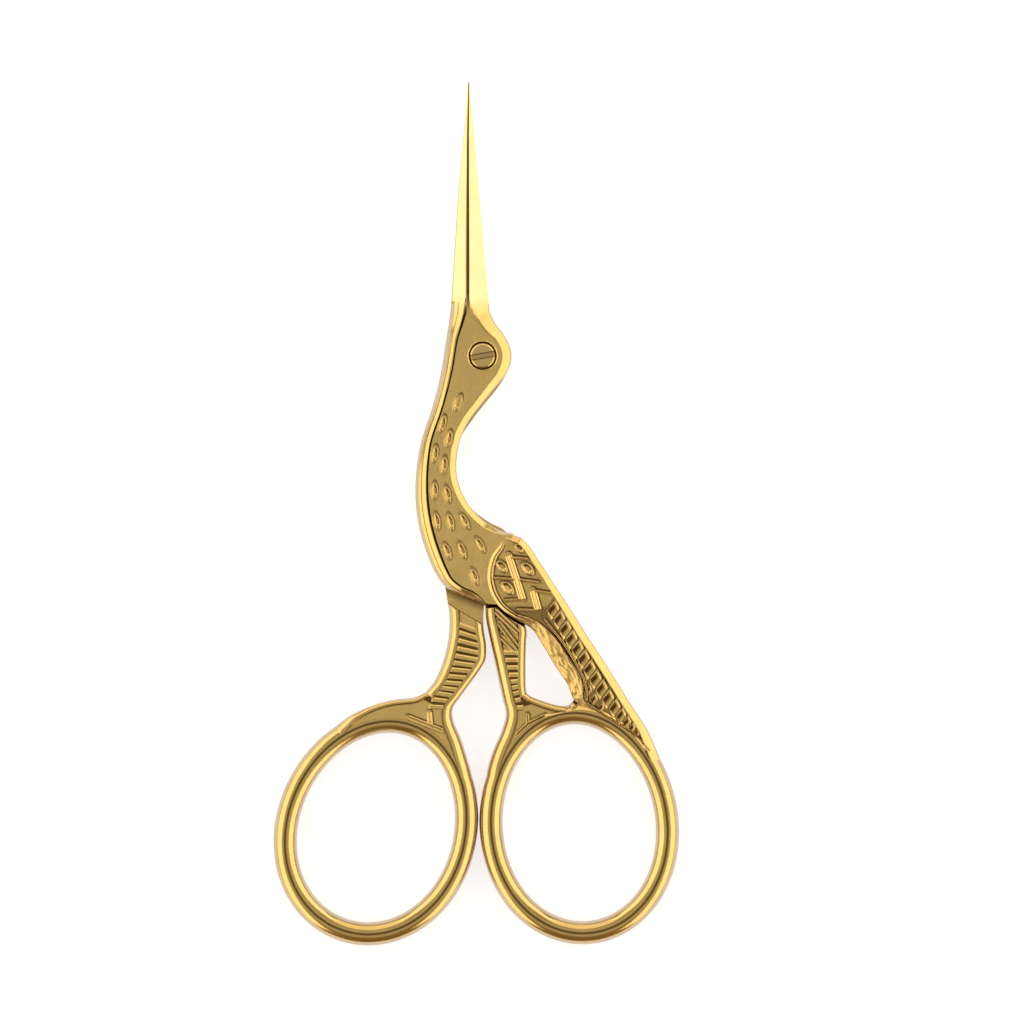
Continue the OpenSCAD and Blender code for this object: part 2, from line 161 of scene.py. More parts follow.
BACK_FOOT_ROWS = [
    [-20.8, -51.8, -21.3, -50.98, 1.57, 1.57],
    [-19.0, -50.6, -19.4, -49.35, 1.57, 1.40],
    [-17.2, -49.9, -17.5, -48.0, 1.57, 0.95],
    [-14.8, -49.2, -14.9, -46.85, 1.57, 0.65],
    [-12.4, -49.0, -12.2, -46.1, 1.57, 0.60],
    [-9.80, -49.8, -9.20, -45.75, 1.57, 0.60],
    [-7.20, -51.4, -7.00, -45.2, 1.57, 0.60],
    [-5.40, -53.0, -4.60, -48.6, 1.57, 0.60],
]
LANDING = [(-8, -30.7), (-4.5, -33.1), (-3.2, -34.0), (0.6, -36.2), (6, -36.2)]
FEATHERS = [
    (-3.26, -6.3, 20), (-5.35, -9.1, 15), (-4.49, -11.1, 12), (-6.35, -13.1, 8), (-5.13, -14.6, 5),
    (-6.40, -18.0, 0), (-4.68, -18.5, -12), (-6.10, -22.1, -10), (-4.30, -22.2, -15), (-2.41, -22.1, -28),
    (-4.75, -26.1, -22), (-2.75, -26.0, -22), (-0.31, -25.3, -30), (-1.09, -29.5, -20),
]
WING_RIBBONS = [
    [(3.46, -26.75), (4.53, -29.99), (5.32, -32.55)],
    [(6.74, -31.45), (7.41, -33.95)],
]
WING_LINES = [
    [(3.9, -26.95), (6.05, -27.2)],
    [(1.45, -29.72), (4.2, -29.9)],
    [(5.0, -29.95), (7.5, -30.32)],
    [(3.0, -32.7), (5.1, -32.6)],
    [(7.0, -31.45), (9.3, -31.82)],
    [(4.6, -33.95), (7.2, -34.05)],
]
WING_SEEDS = [(4.9, -25.75, 0.75), (2.55, -28.2, 0.95), (6.0, -28.5, 1.0), (3.3, -31.05, 1.05)]
DIAGONALS = [
    [(1.75, -34.2), (4.79, -37.06)],
    [(2.11, -35.73), (4.62, -39.01)],
    [(2.52, -37.67), (4.40, -39.5)],
]
FRONT_CLAW = [[(4.54, -50.7), (6.07, -49.25), (8.27, -48.1)], [(5.98, -48.0), (6.07, -49.25)]]
BACK_CLAW = [[(-10.0, -48.4), (-5.44, -50.2)], [(-7.16, -47.7), (-7.0, -49.3)]]
TAIL_RIDGES = [
    [(9.6, -32.7), (7.98, -34.93), (9.61, -36.94), (11.25, -39.02), (12.45, -41.1), (13.55, -43.2),
     (13.95, -44.9), (13.9, -46.1)],
    [(13.9, -46.5), (16.9, -48.55), (20.9, -51.0)],
]
BRAID = [(9.46, -33.96), (13.07, -39.84), (16.68, -45.72), (20.6, -50.6)]
SMALL_LEAVES = [(12.96, -42.35, 0.42), (13.65, -43.54, 0.5), (14.23, -44.78, 0.58), (14.95, -46.0, 0.62),
                (15.9, -47.1, 0.5)]
RINGS = {
    "right": ((12.88, -62.52), 13.2, 10.2, -6),
    "left": ((-14.15, -63.13), 12.9, 10.3, 18),
}
WIRE = 3.15
CROWN = 1.68
WAIST, WAIST_X, WAIST_WIDE = 0.75, -1.2, 2.3
SLOT_TURN = 10
SENSOR = 36

# First rung and run of the rungs, counted in half rows of each leg's table
FRONT_RUNGS = (5.36, 5.84)
BACK_RUNGS = (4.6, 11.1)

# Raised lip round the screw, as radius and height
SEAT = [(1.88, 2.3), (1.88, 3.36), (1.91, 3.40), (1.96, 3.42), (2.02, 3.40), (2.10, 3.33), (2.10, 2.3)]

# Heights across a border: 0 at the outer edge and 1 at the top, against the share of its width
NECK_LEFT = [(0, 0), (0.22, 0.55), (0.44, 0.80), (0.48, 0.77), (0.52, 0.82), (0.80, 1.04), (0.86, 1.04),
             (0.91, 0.80), (0.97, 0.80), (1, 1)]
NECK_RIGHT = [(0, 0), (0.05, 0.25), (0.12, 0.38), (0.70, 0.90), (0.85, 0.98), (1, 1)]
BLADE_SIDE = [(0, 0), (0.03, 0.05), (1, 1)]
RIM = [(0, 0), (0.05, 0.3), (0.12, 0.45), (0.80, 0.97), (0.88, 1.0), (0.93, 0.97), (1, 0.69)]
DOUBLE_RIM = [(0, 0.5), (0.02, 0.8), (0.27, 1.0), (0.40, 0.93), (0.46, 0.80), (0.52, 0.80), (0.60, 0.96),
              (0.70, 1.0), (0.80, 0.90), (0.88, 0.70), (1, 0.69)]
ROUGH_WALL = [(0, 0), (0.05, 0.2), (0.2, 0.42), (0.7, 0.86), (0.85, 1.0), (0.92, 0.97), (1, 0.69)]


# Meshes from rows.
def blend_rows(rows, steps):
    """A smooth run of rows, with this many steps between two given ones."""
    rows = np.array(rows, float)
    last = len(rows) - 1
    out = []
    for i in range(last):
        a, b, c, d = rows[max(i - 1, 0)], rows[i], rows[i + 1], rows[min(i + 2, last)]
        for t in np.arange(steps) / steps:
            bend, twist = 2 * a - 5 * b + 4 * c - d, 3 * b - a - 3 * c + d
            out.append(0.5 * (2 * b + (c - a) * t + bend * t * t + twist * t**3))
    out.append(rows[last])
    return np.array(out)


def inward(rows, column):
    """Unit directions from one edge of the rows towards their middle."""
    run = np.gradient(rows[:, column : column + 2], axis=0)
    run /= np.linalg.norm(run, axis=1, keepdims=True)
    side = 1 if column == 0 else -1
    return np.stack([-run[:, 1], run[:, 0]], 1) * side


def eased(points, blur=0.02):
    """A height table through the points, with its corners rounded."""
    grid = np.linspace(0, 1, 401)
    table = np.interp(grid, *np.array(points, float).T)
    reach = max(int(blur * 400), 1)
    kernel = np.hanning(2 * reach + 3)[1:-1]
    soft = np.convolve(np.pad(table, reach, mode="edge"), kernel / kernel.sum(), mode="valid")
    soft[0], soft[-1] = table[0], table[-1]
    return lambda t: np.interp(t, grid, soft)


def sheet(rows, across, extra=0.0):
    """Points over the rows: places, share of the left border, share of the right border.

    across says how many points cross the left border, the flat between and the right border.
    """
    left, flat, right = across
    near, far = rows[:, 0:2], rows[:, 2:4]
    to_left, to_right = inward(rows, 0), inward(rows, 2)
    width_l, width_r = rows[:, 4] + extra, rows[:, 5] + extra
    t = np.linspace(0, 1, left)
    a = near[:, None] + to_left[:, None] * (width_l[:, None] * t)[..., None]
    u = np.linspace(1, 0, right)
    b = far[:, None] + to_right[:, None] * (width_r[:, None] * u)[..., None]
    s = (np.arange(1, flat) / flat)[None, :, None]
    middle = a[:, -1:] * (1 - s) + b[:, :1] * s
    places = np.concatenate([a, middle, b], 1)
    ones = np.ones((1, places.shape[1]))
    share_l, share_r = ones.copy(), ones.copy()
    share_l[0, :left] = t
    share_r[0, -right:] = u
    return places, share_l, share_r


def solid(name, top, bottom, tones):
    """Closed solid from a grid of upper points and a grid of lower points with the same rows."""
    loops = np.concatenate([top, bottom[:, ::-1]], 1)
    m, n = loops.shape[:2]
    index = np.arange(m * n).reshape(m, n)
    onward = np.roll(index, -1, axis=1)
    quads = np.stack([index[:-1], index[1:], onward[1:], onward[:-1]], -1).reshape(-1, 4)
    caps = [index[0].tolist(), index[-1][::-1].tolist()]
    mesh = bpy.data.meshes.new(name)
    mesh.from_pydata((loops.reshape(-1, 3) * MM).tolist(), [], quads.tolist() + caps)
    for key, (upper, lower) in tones.items():
        add_tone(mesh, key, np.concatenate([upper, lower[:, ::-1]], 1))
    finish_mesh(mesh)
    return place(name, mesh)


def add_tone(mesh, key, values):
    """A named tone on the points of a mesh, which the brass reads."""
    attribute = mesh.attributes.new(key, "FLOAT", "POINT")
    attribute.data.foreach_set("value", values.astype(np.float32).ravel())


def finish_mesh(mesh, sharp=40):
    """Smooth shading with edges steeper than this many degrees kept sharp."""
    mesh.polygons.foreach_set("use_smooth", np.ones(len(mesh.polygons), bool))
    mesh.set_sharp_from_angle(angle=math.radians(sharp))
    mesh.update()


def place(name, mesh):
    """A mesh put in the scene as an object."""
    made = bpy.data.objects.new(name, mesh)
    bpy.context.scene.collection.objects.link(made)
    return made


def settle(piece, body, node, finish):
    """Gives a finished piece its material and its body, and hides the imported part it stands for."""
    piece.data.materials.clear()
    piece.data.materials.append(finish)
    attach(piece, body)
    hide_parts(node)


def oval_share(places, centre, lean, length, width):
    """How far each place is from an oval's middle, 1 at its edge."""
    turn = math.radians(lean)
    d = places - np.array(centre)
    along = d[..., 0] * math.sin(turn) + d[..., 1] * math.cos(turn)
    across = d[..., 0] * math.cos(turn) - d[..., 1] * math.sin(turn)
    return np.hypot(along / (length / 2), across / (width / 2))


def facing(places, centre, up):
    """How far each place lies to the right of a centre, and to this share above it."""
    d = places - np.array(centre)
    return (d[..., 0] + d[..., 1] * up) / np.maximum(np.hypot(d[..., 0], d[..., 1]), 0.01)


def below_path(places, path):
    """Distance below a path that runs left to right, negative above it."""
    best = np.full(places.shape[:-1], 1e9)
    sign = np.ones(places.shape[:-1])
    for p, q in zip(path[:-1], path[1:]):
        p, q = np.array(p, float), np.array(q, float)
        run = q - p
        t = np.clip(((places - p) @ run) / (run @ run), 0, 1)
        d = places - (p + t[..., None] * run)
        gap = np.hypot(d[..., 0], d[..., 1])
        side = run[0] * d[..., 1] - run[1] * d[..., 0]
        sign = np.where(gap < best, np.where(side > 0, -1, 1), sign)
        best = np.minimum(best, gap)
    return best * sign


def step(x):
    """A soft step from 0 to 1."""
    x = np.clip(x, 0, 1)
    return x * x * (3 - 2 * x)


def ring_line(which, egg=0.04):
    """Centre line of a finger ring, without its last point."""
    centre, long, wide, lean = RINGS[which]
    a = np.linspace(0, 2 * math.pi, 361)[:-1]
    u = (wide + WIRE / 2) * (1 - egg * np.sin(a)) * np.cos(a)
    v = (long + WIRE / 2) * np.sin(a)
    turn = math.radians(lean)
    x, y = u * math.cos(turn) + v * math.sin(turn), v * math.cos(turn) - u * math.sin(turn)
    return np.stack([x, y], 1) + centre


def waist_at(x):
    """How far the right ring's outer edge draws in below the window, x across the ring in its own frame."""
    return WAIST * np.exp(-(((x - WAIST_X) / WAIST_WIDE) ** 2))


def ring_edges(which, wire):
    """Outer edge and hole of a finger ring."""
    line = ring_line(which)
    run = np.roll(line, -1, 0) - np.roll(line, 1, 0)
    out = np.stack([run[:, 1], -run[:, 0]], 1) / np.linalg.norm(run, axis=1)[:, None]
    outer, hole = line + out * wire / 2, line - out * wire / 2
    if which == "right":
        centre, _, _, lean = RINGS[which]
        turn = math.radians(lean)
        d = line - centre
        own_x = d[:, 0] * math.cos(turn) - d[:, 1] * math.sin(turn)
        drop = waist_at(own_x) * (d[:, 1] > 0)
        outer = outer - drop[:, None] * np.array([math.sin(turn), math.cos(turn)])
    return outer, hole


def soft_min(a, b, soft=0.12):
    """The smaller of two heights, with the corner between them rounded."""
    h = np.clip(0.5 + 0.5 * (b - a) / soft, 0, 1)
    return b * (1 - h) + a * h - soft * h * (1 - h)


def border(gap, width, round_part=1.06):
    """Height at a distance from the outline: the rounded shoulder of a border, flat at its width."""
    reach = round_part * width
    near = np.clip(gap / reach, 0, 1)
    return CROWN - 0.88 * reach * (1 - np.sqrt(1 - (1 - near) ** 2))


def wire_height(x):
    """Height of a finger ring's section, x from -1 at the hole to 1 at the outer edge."""
    return border((1 - np.abs(np.asarray(x))) * WIRE / 2, WIRE / 2)


def within(places, outline):
    """Which places lie inside a closed outline."""
    x, y = places[:, 0], places[:, 1]
    inside = np.zeros(len(places), bool)
    for (x0, y0), (x1, y1) in zip(outline, np.roll(outline, -1, axis=0)):
        if y0 != y1:
            inside ^= ((y0 > y) != (y1 > y)) & (x < (x1 - x0) * (y - y0) / (y1 - y0) + x0)
    return inside


def dense(line, gap=0.04):
    """A line with its points at most this far apart; further columns go along."""
    out = []
    for p, q in zip(line[:-1], line[1:]):
        count = max(int(np.ceil(np.hypot(*(q - p)[:2]) / gap)), 1)
        out.append(p + (q - p) * (np.arange(count) / count)[:, None])
    return np.concatenate(out + [line[-1:]])


def closed(line):
    """A line with its first point once more at its end."""
    return np.concatenate([line, line[:1]])


def nearest(places, line):
    """Distance from each place to the nearest point of a line, and that point's number."""
    tree = KDTree(len(line))
    for i, (x, y) in enumerate(line):
        tree.insert((x, y, 0), i)
    tree.balance()
    found = [tree.find((x, y, 0)) for x, y in places]
    return np.array([f[2] for f in found]), np.array([f[1] for f in found])


def outside(places, outline):
    """Distance outside a closed outline, negative inside."""
    gap, _ = nearest(places, dense(closed(outline)))
    return np.where(within(places, outline), -gap, gap)


def outline_of(rows, steps=8):
    """Closed outline of a strip of rows."""
    fine = blend_rows(rows, steps)
    return np.concatenate([fine[:, 0:2], fine[::-1, 2:4]])


def shadow_line(places, paths, reach, wide=0.13):
    """Strength of the painted shadow in the groove beside raised lines, deepest on their upper right side."""
    best = np.zeros(len(places))
    for path in paths:
        line = dense(np.array(path, float), 0.05)
        gap, at = nearest(places, line)
        d = places - line[at]
        upper_right = (d[:, 0] * 0.75 + d[:, 1] * 0.66) / np.maximum(gap, 0.01)
        groove = np.exp(-(((gap - reach) / wide) ** 2))
        best = np.maximum(best, groove * np.clip(0.45 + 0.75 * upper_right, 0, 1))
    return best


def tuck(z, gap, low=0.5, reach=0.4):
    """Lets a surface dip under a neighbour that begins where the gap is 0."""
    return np.minimum(z, low + np.maximum(z - low, 0) * step(gap / reach))


def joined_edge(strips, which, wire):
    """Outline of strips joined to a finger ring, as x, y and border width."""
    outer, hole = ring_edges(which, wire)
    fine = [blend_rows(rows, 8) for rows in strips]
    shapes = [outline_of(rows) for rows in strips] + [outer]
    lines = [(i, f[:, columns]) for i, f in enumerate(fine) for columns in ([0, 1, 4], [2, 3, 5])]
    lines.append((len(fine), closed(np.column_stack([outer, np.full(len(outer), WIRE / 2)]))))
    kept = []
    for i, line in lines:
        line = dense(line)
        hidden = within(line[:, :2], hole)
        for j, shape in enumerate(shapes):
            if j != i:
                hidden |= within(line[:, :2], shape)
        kept.append(line[~hidden])
    return np.concatenate(kept), shapes, hole


def make_legs(name, which, strips, heights, pitch=0.075, proud=0.03):
    """Leg and foot that flow into their finger ring: a fine square net with its rim drawn to the outline."""
    edge, shapes, hole = joined_edge(strips, which, WIRE + proud)

    # A square net over the strips, and the net's points on them or close by on the ring
    own = np.concatenate(shapes[:-1])
    low, high = own.min(0) - 1, own.max(0) + 1
    xs, ys = np.arange(low[0], high[0], pitch), np.arange(low[1], high[1], pitch)
    net = np.stack(np.meshgrid(xs, ys), -1)
    places = net.reshape(-1, 2).copy()
    in_strips = within(places, shapes[0]) | within(places, shapes[1])
    inside = (in_strips | within(places, shapes[2])) & ~within(places, hole)
    rim = np.concatenate([edge[:, :2], dense(closed(hole))])
    gap, at = np.full(len(places), 9.0), np.zeros(len(places), int)
    reach, _ = nearest(places, dense(own, 0.2))
    close_by = in_strips | (reach < 1.5)
    gap[close_by], at[close_by] = nearest(places[close_by], rim)
    chosen = (np.where(inside, gap, -gap) > -0.6 * pitch) & close_by

    # Whole cells of the net, and the sides where the next cell is missing
    cells = chosen.reshape(net.shape[:2])
    cells = cells[:-1, :-1] & cells[:-1, 1:] & cells[1:, :-1] & cells[1:, 1:]
    index = np.arange(len(places)).reshape(net.shape[:2])
    corners = [index[:-1, :-1], index[:-1, 1:], index[1:, 1:], index[1:, :-1]]
    padded = np.pad(cells, 1)
    open_sides = [cells & ~padded[:-2, 1:-1], cells & ~padded[1:-1, 2:], cells & ~padded[2:, 1:-1],
                  cells & ~padded[1:-1, :-2]]
    walls = np.concatenate([
        np.stack([corners[k][open_sides[k]], corners[(k + 1) % 4][open_sides[k]]], 1) for k in range(4)])
    faces = np.stack([c[cells] for c in corners], 1)

    # Points on those sides go to the nearest place on the outline, and points without a cell are left out
    on_rim = np.unique(walls)
    on_rim = on_rim[gap[on_rim] < 1.5 * pitch]
    places[on_rim] = rim[at[on_rim]]
    used = np.unique(faces)
    renumber = np.full(len(places), -1)
    renumber[used] = np.arange(len(used))
    faces, walls, places, reach = renumber[faces], renumber[walls], places[used], reach[used]

    # Heights and tones of both faces, which sink under the ring where the strips end
    count = len(used)
    reach = np.where(in_strips[used], 0, reach)
    up, down = heights(places, edge, hole)
    fade = 0.2 * step((reach - 0.9) / 0.5)
    points = np.concatenate([np.column_stack([places, MID + up[0] - fade]),
                             np.column_stack([places, MID - down[0] + fade])])
    sides = np.stack([walls[:, 0] + count, walls[:, 1] + count, walls[:, 1], walls[:, 0]], 1)
    mesh = bpy.data.meshes.new(name)
    faces = np.concatenate([faces, faces[:, ::-1] + count, sides])
    mesh.from_pydata((points * MM).tolist(), [], faces.tolist())
    for i, key in ((1, "satin"), (2, "shade_and_patina")):
        add_tone(mesh, key, np.concatenate([up[i], down[i]]))
    finish_mesh(mesh, 80)
    return place(name, mesh)


def leg_surface(places, edge, hole, turn_y, rungs, marks):
    """Borders round the outline, a panel that is sunk less on the foot, and painted shade as dark lines where
    they meet, between the rungs and beside the bars and claws.
    """
    gap, at = nearest(places, edge[:, :2])
    from_hole, _ = nearest(places, dense(closed(hole)))
    width = edge[at, 2]
    inner = np.minimum(gap - width, from_hole - 1.6)
    sunk = FOOT_DEPTH + (PANEL_DEPTH - FOOT_DEPTH) * step((places[:, 1] - turn_y) / 2)
    z = soft_min(border(gap, width), border(from_hole, WIRE / 2), 0.05) - sunk * step(inner / 0.16)
    satin = step((inner - 0.05) / 0.15)
    shade_and_patina = np.exp(-(((inner - 0.07) / 0.14) ** 2)) * (0.6 + 0.4 * step((width - 1.05) / 0.1))
    column = dense(np.array([mark[:2] for mark in rungs[: len(rungs) // 2]]), 0.05)
    _, at_rung = nearest(places, column)
    between_rungs = (at_rung > 0) & (at_rung < len(column) - 1)
    # Painted shadow in the gaps between the rungs.
    shade_and_patina = np.maximum(shade_and_patina, 0.9 * between_rungs * step((inner - 0.05) / 0.1))
    # Grooves beside the bars and claws, with painted shadow in them.
    for paths, reach in marks:
        groove = shadow_line(places, paths, reach) * step((inner - 0.05) / 0.1)
        z = z - 0.05 * groove
        shade_and_patina = np.maximum(shade_and_patina, groove)
    return z, satin, shade_and_patina


def front_legs(places, edge, hole):
    """Heights and tones of the front leg, which dips under the wing and the neck."""
    marks = ((DIAGONALS, 0.46), (FRONT_CLAW, 0.32))
    z, satin, shade_and_patina = leg_surface(places, edge, hole, -49, front_rungs(), marks)
    wing = outside(places, outline_of(WING_ROWS))
    neck = outside(places, outline_of(np.array(NECK_ROWS)[10:]))
    # Painted shade along the edges of the wing and the neck, where the leg dips under them, above the tail.
    above_tail = step((places[:, 1] + 44) / 3)
    shade_and_patina = np.maximum(shade_and_patina, np.exp(-((np.minimum(wing, neck) / 0.25) ** 2)) * above_tail)
    up = tuck(tuck(z, wing), neck)
    down = tuck(z, wing)
    under = outside(places, outline_of(back_breast()[10:]))
    down = np.where(under < 0.12, -GAP / 2, down)
    return (up, satin, shade_and_patina), (down, satin, shade_and_patina)


def back_legs(places, edge, hole):
    """Heights and tones of the back leg, which is flat above the landing where the front half lies on it."""
    z, satin, shade_and_patina = leg_surface(places, edge, hole, -47, back_rungs(), ((BACK_CLAW, 0.45),))
    low = -GAP / 2
    keep = step(below_path(places, LANDING) / 0.15)
    neck = outside(places, outline_of(back_breast()[10:]))
    up = low + (z - low) * keep
    flat = np.where(keep < 0.9, 1.0, satin)
    # Painted shade on the flat where the front half lies, beside the neck's edge.
    beside_neck = 0.7 * np.exp(-((np.maximum(neck, 0) / 0.7) ** 2)) * (keep < 0.5)
    return (up, flat, np.maximum(shade_and_patina * keep, beside_neck)), (tuck(z, neck), satin, shade_and_patina)


def back_breast():
    """Rows of the back half's neck, which leave room for the front half's wing and leg."""
    rows = np.array(NECK_ROWS)
    rows[16:, 2:4] = [(3.1, -24.2), (0.9, -26.6), (0.35, -29.4), (0.65, -31.3), (0.1, -33.0)]
    rows[20, 0:2] = -0.1, -33.25
    return rows


def neck_rows(peek):
    """Rows of blade and neck; a peek draws in the back half's edge where the front half covers it."""
    rows = back_breast() if peek else np.array(NECK_ROWS)
    out = inward(rows, 2)
    for i in PEEK_ROWS:
        rows[i, 2:4] -= out[i] * peek
    fine = blend_rows(rows, 20)
    blade = [np.array(BLADE_ROWS[0])]
    for a, b in zip(BLADE_ROWS, BLADE_ROWS[1:] + [fine[0]]):
        for t in np.arange(1, 13) / 12:
            blade.append(np.array(a) * (1 - t) + np.array(b) * t)
    return np.concatenate([np.array(blade), fine[1:]])


def make_neck(name, peek, upper, sizes):
    """Blade, head, neck and breast of one half, its relief up, or down for the back half."""
    rows = neck_rows(peek)
    places, tl, tr = sheet(rows, (40, 70, 26))

    # Heights: the borders of the neck turn into the ground facets of the blade
    y = rows[:, 1:2]
    blade_l, blade_r = step((y - 5.5) / 3), step((y - 4.0) / 4)
    edge, top = rows[:, 6:7] * HALF, rows[:, 7:8] * HALF
    low = edge * blade_l + 0.2 * HALF * (1 - blade_l)
    left = low + (top - low) * (eased(NECK_LEFT, 0.012)(tl) * (1 - blade_l) + eased(BLADE_SIDE)(tl) * blade_l)
    right = edge + (top - edge) * (eased(NECK_RIGHT)(tr) * (1 - blade_r) + eased(BLADE_SIDE)(tr) * blade_r)
    z = np.minimum(np.minimum(left, np.where(tr < 1, right, HALF)), HALF)

    # Tones: satin between the borders; painted shade as dark lines in and beside the left border, along the
    # blade's ridge and at the blade's left edge
    satin = np.where((tl >= 1) & (tr >= 1), 1.0, 0.0) * np.ones_like(z) * (1 - step((y - 6) / 3))
    shade_and_patina = np.where(tl < 1, step(1.4 - np.abs(tl - 0.92) / 0.08), 0.0) * (1 - blade_l) * np.ones_like(z)
    shade_and_patina = np.maximum(shade_and_patina, 0.5 * step(1 - np.abs(tl - 0.48) / 0.05) * (1 - step((y + 1) / 3)))
    ridge = np.minimum(0.30, 0.012 * (40 - y))
    beside = np.where(tl < 1, (1 - tl) * rows[:, 4:5] / ridge,
                      np.where(tr < 1, (1 - tr) * rows[:, 5:6] / (0.4 * ridge), 0.0))
    shade_and_patina = np.maximum(shade_and_patina, blade_l * step(1.3 - beside))
    shade_and_patina = np.maximum(shade_and_patina, 0.8 * blade_l * step(1 - tl / 0.06))
    ground = blade_r * blade_l * np.ones_like(z)

    # A shallow groove round each feather, with painted shade in it, darkest on its right
    for x, fy, lean in FEATHERS:
        share = oval_share(places, (x, fy), lean, sizes.feather_length / MM, sizes.feather_width / MM)
        groove = np.exp(-(((share - 1.16) / 0.13) ** 2))
        z = z - 0.06 * groove
        shade_and_patina = np.maximum(shade_and_patina, groove * (0.55 + 0.45 * facing(places, (x, fy), 0.5)))

    # The front half lies lower under the head of the screw, and the sunk ring is painted dark as the shadow
    # round the head
    if upper:
        from_screw = np.hypot(places[..., 0], places[..., 1])
        sink = step((1.98 - from_screw) / 0.1)
        z = z * (1 - sink) + 0.84 * sink
        shade_and_patina = np.maximum(shade_and_patina, sink)

    # The outer face, and the flat inner face, which needs only a few of the columns
    outer = np.concatenate([places, (GAP / 2 + z)[..., None]], 2)
    inner_places = places[:, [0, 8, 39, 66, 90, 108, 124, places.shape[1] - 1]]
    inner = np.concatenate([inner_places, np.full(inner_places.shape[:2] + (1,), GAP / 2)], 2)
    flat = np.ones(inner.shape[:2])
    tones_up = {"satin": (satin, flat), "shade_and_patina": (shade_and_patina, flat * 0), "ground": (ground, flat * 0)}
    tones_down = {"satin": (flat, satin), "shade_and_patina": (flat * 0, shade_and_patina), "ground": (flat * 0, ground)}
    if upper:
        outer[..., 2] += MID
        inner[..., 2] += MID
        return solid(name, outer, inner, tones_up)
    outer[..., 2] = MID - outer[..., 2]
    inner[..., 2] = MID - inner[..., 2]
    return solid(name, inner, outer, tones_down)


def make_lathe(name, profile, sides=96):
    """Ring round the pivot from a closed profile of (radius, height) in millimetres."""
    profile = np.array(profile, float)
    a = np.arange(sides) / sides * 2 * math.pi
    radius, high = profile[:, 0], profile[:, 1]
    points = np.stack([radius * np.cos(a)[:, None], radius * np.sin(a)[:, None], high + 0 * a[:, None]], -1)
    count = len(profile)
    index = np.arange(sides * count).reshape(sides, count)
    turned, onward = np.roll(index, -1, 0), np.roll(index, -1, 1)
    faces = np.stack([index, turned, np.roll(turned, -1, 1), onward], -1).reshape(-1, 4)
    mesh = bpy.data.meshes.new(name)
    mesh.from_pydata((points.reshape(-1, 3) * MM).tolist(), [], faces.tolist())
    finish_mesh(mesh, 30)
    return place(name, mesh)


def make_wing(name):
    """Wing and tail, full thickness: the double rim turns into the rough wall, and both faces are alike."""
    rows = blend_rows(WING_ROWS, 18)
    places, tl, tr = sheet(rows, (34, 64, 26), 0.15)
    edge, top = 0.45 * HALF, HALF - 0.02
    panel = (HALF - PANEL_DEPTH - edge) / (top - edge)
    k = np.linspace(0, 1, len(rows))[:, None]
    wall = step((k - 0.44) / 0.06)
    high_l = eased(DOUBLE_RIM, 0.015)(tl) * (1 - wall) + eased(ROUGH_WALL, 0.015)(tl) * wall
    high_r = eased(RIM, 0.015)(tr) * np.ones_like(k)
    on_left, on_right = tl < 1, tr < 1
    share = np.where(on_left, high_l, np.where(on_right, high_r, panel * np.ones_like(k)))
    z, satin, shade_and_patina = wing_shape(places, edge + (top - edge) * share, tl, tr, k)
    upper = np.concatenate([places, (MID + z)[..., None]], 2)
    lower = np.concatenate([places, (MID - z)[..., None]], 2)
    return solid(name, upper, lower, {"satin": (satin, satin), "shade_and_patina": (shade_and_patina, shade_and_patina)})


# Node trees.
FLOAT, VECTOR, COUNT, COAT = "NodeSocketFloat", "NodeSocketVector", "NodeSocketInt", "NodeSocketMaterial"


def add(tree, kind, values=None, **settings):
    """One node with its settings, and its sockets set or joined."""
    made = tree.nodes.new(kind)
    for key, value in settings.items():
        setattr(made, key, value)
    for key, value in (values or {}).items():
        if isinstance(value, bpy.types.NodeSocket):
            tree.links.new(value, made.inputs[key])
        else:
            made.inputs[key].default_value = value
    return made


def math_of(tree, operation, *values):
    """One sum on numbers or sockets."""
    return add(tree, "ShaderNodeMath", dict(enumerate(values)), operation=operation).outputs[0]


def product(tree, *values):
    """Numbers or sockets multiplied together, from left to right."""
    made = values[0]
    for value in values[1:]:
        made = math_of(tree, "MULTIPLY", made, value)
    return made


def vector(tree, x=0.0, y=0.0, z=0.0):
    """A vector of three numbers or sockets."""
    return add(tree, "ShaderNodeCombineXYZ", {0: x, 1: y, 2: z}).outputs[0]


def place_of(tree):
    """The x, y and z of each point."""
    return add(tree, "ShaderNodeSeparateXYZ", {0: add(tree, "GeometryNodeInputPosition").outputs[0]}).outputs


def moved(tree, geometry, **how):
    """The geometry with its points at a Position, or shifted by an Offset."""
    return add(tree, "GeometryNodeSetPosition", {"Geometry": geometry, **how}).outputs[0]


def new_tree(name, sockets):
    """An empty tree with a geometry socket at each end and these inputs."""
    tree = bpy.data.node_groups.new(name, "GeometryNodeTree")
    tree.interface.new_socket("Geometry", in_out="INPUT", socket_type="NodeSocketGeometry")
    for label, kind, default in sockets:
        made = tree.interface.new_socket(label, in_out="INPUT", socket_type=kind)
        if default is not None:
            made.default_value = default
    tree.interface.new_socket("Geometry", in_out="OUTPUT", socket_type="NodeSocketGeometry")
    return tree, tree.nodes.new("NodeGroupInput").outputs


def close_tree(tree, geometry, finish):
    """Smooth shading, real geometry and the material, as every tree ends."""
    smooth = add(tree, "GeometryNodeSetShadeSmooth", {"Geometry": geometry})
    real = add(tree, "GeometryNodeRealizeInstances", {"Geometry": smooth.outputs[0]})
    coated = add(tree, "GeometryNodeSetMaterial", {"Geometry": real.outputs[0], "Material": finish})
    out = tree.nodes.new("NodeGroupOutput")
    tree.links.new(coated.outputs[0], out.inputs[0])
    return tree


def grow(name, tree, base, values):
    """Runs a tree on a base mesh and keeps the result as a plain mesh."""
    piece = place(name, base)
    live = piece.modifiers.new("shape", "NODES")
    live.node_group = tree
    for item in tree.interface.items_tree:
        if item.in_out == "INPUT" and item.name in values:
            live[item.identifier] = values[item.name]
    depsgraph = bpy.context.evaluated_depsgraph_get()
    made = bpy.data.meshes.new_from_object(piece.evaluated_get(depsgraph))
    piece.modifiers.clear()
    finish_mesh(made)
    piece.data = made
    bpy.data.meshes.remove(base)
    made.name = name
    return piece


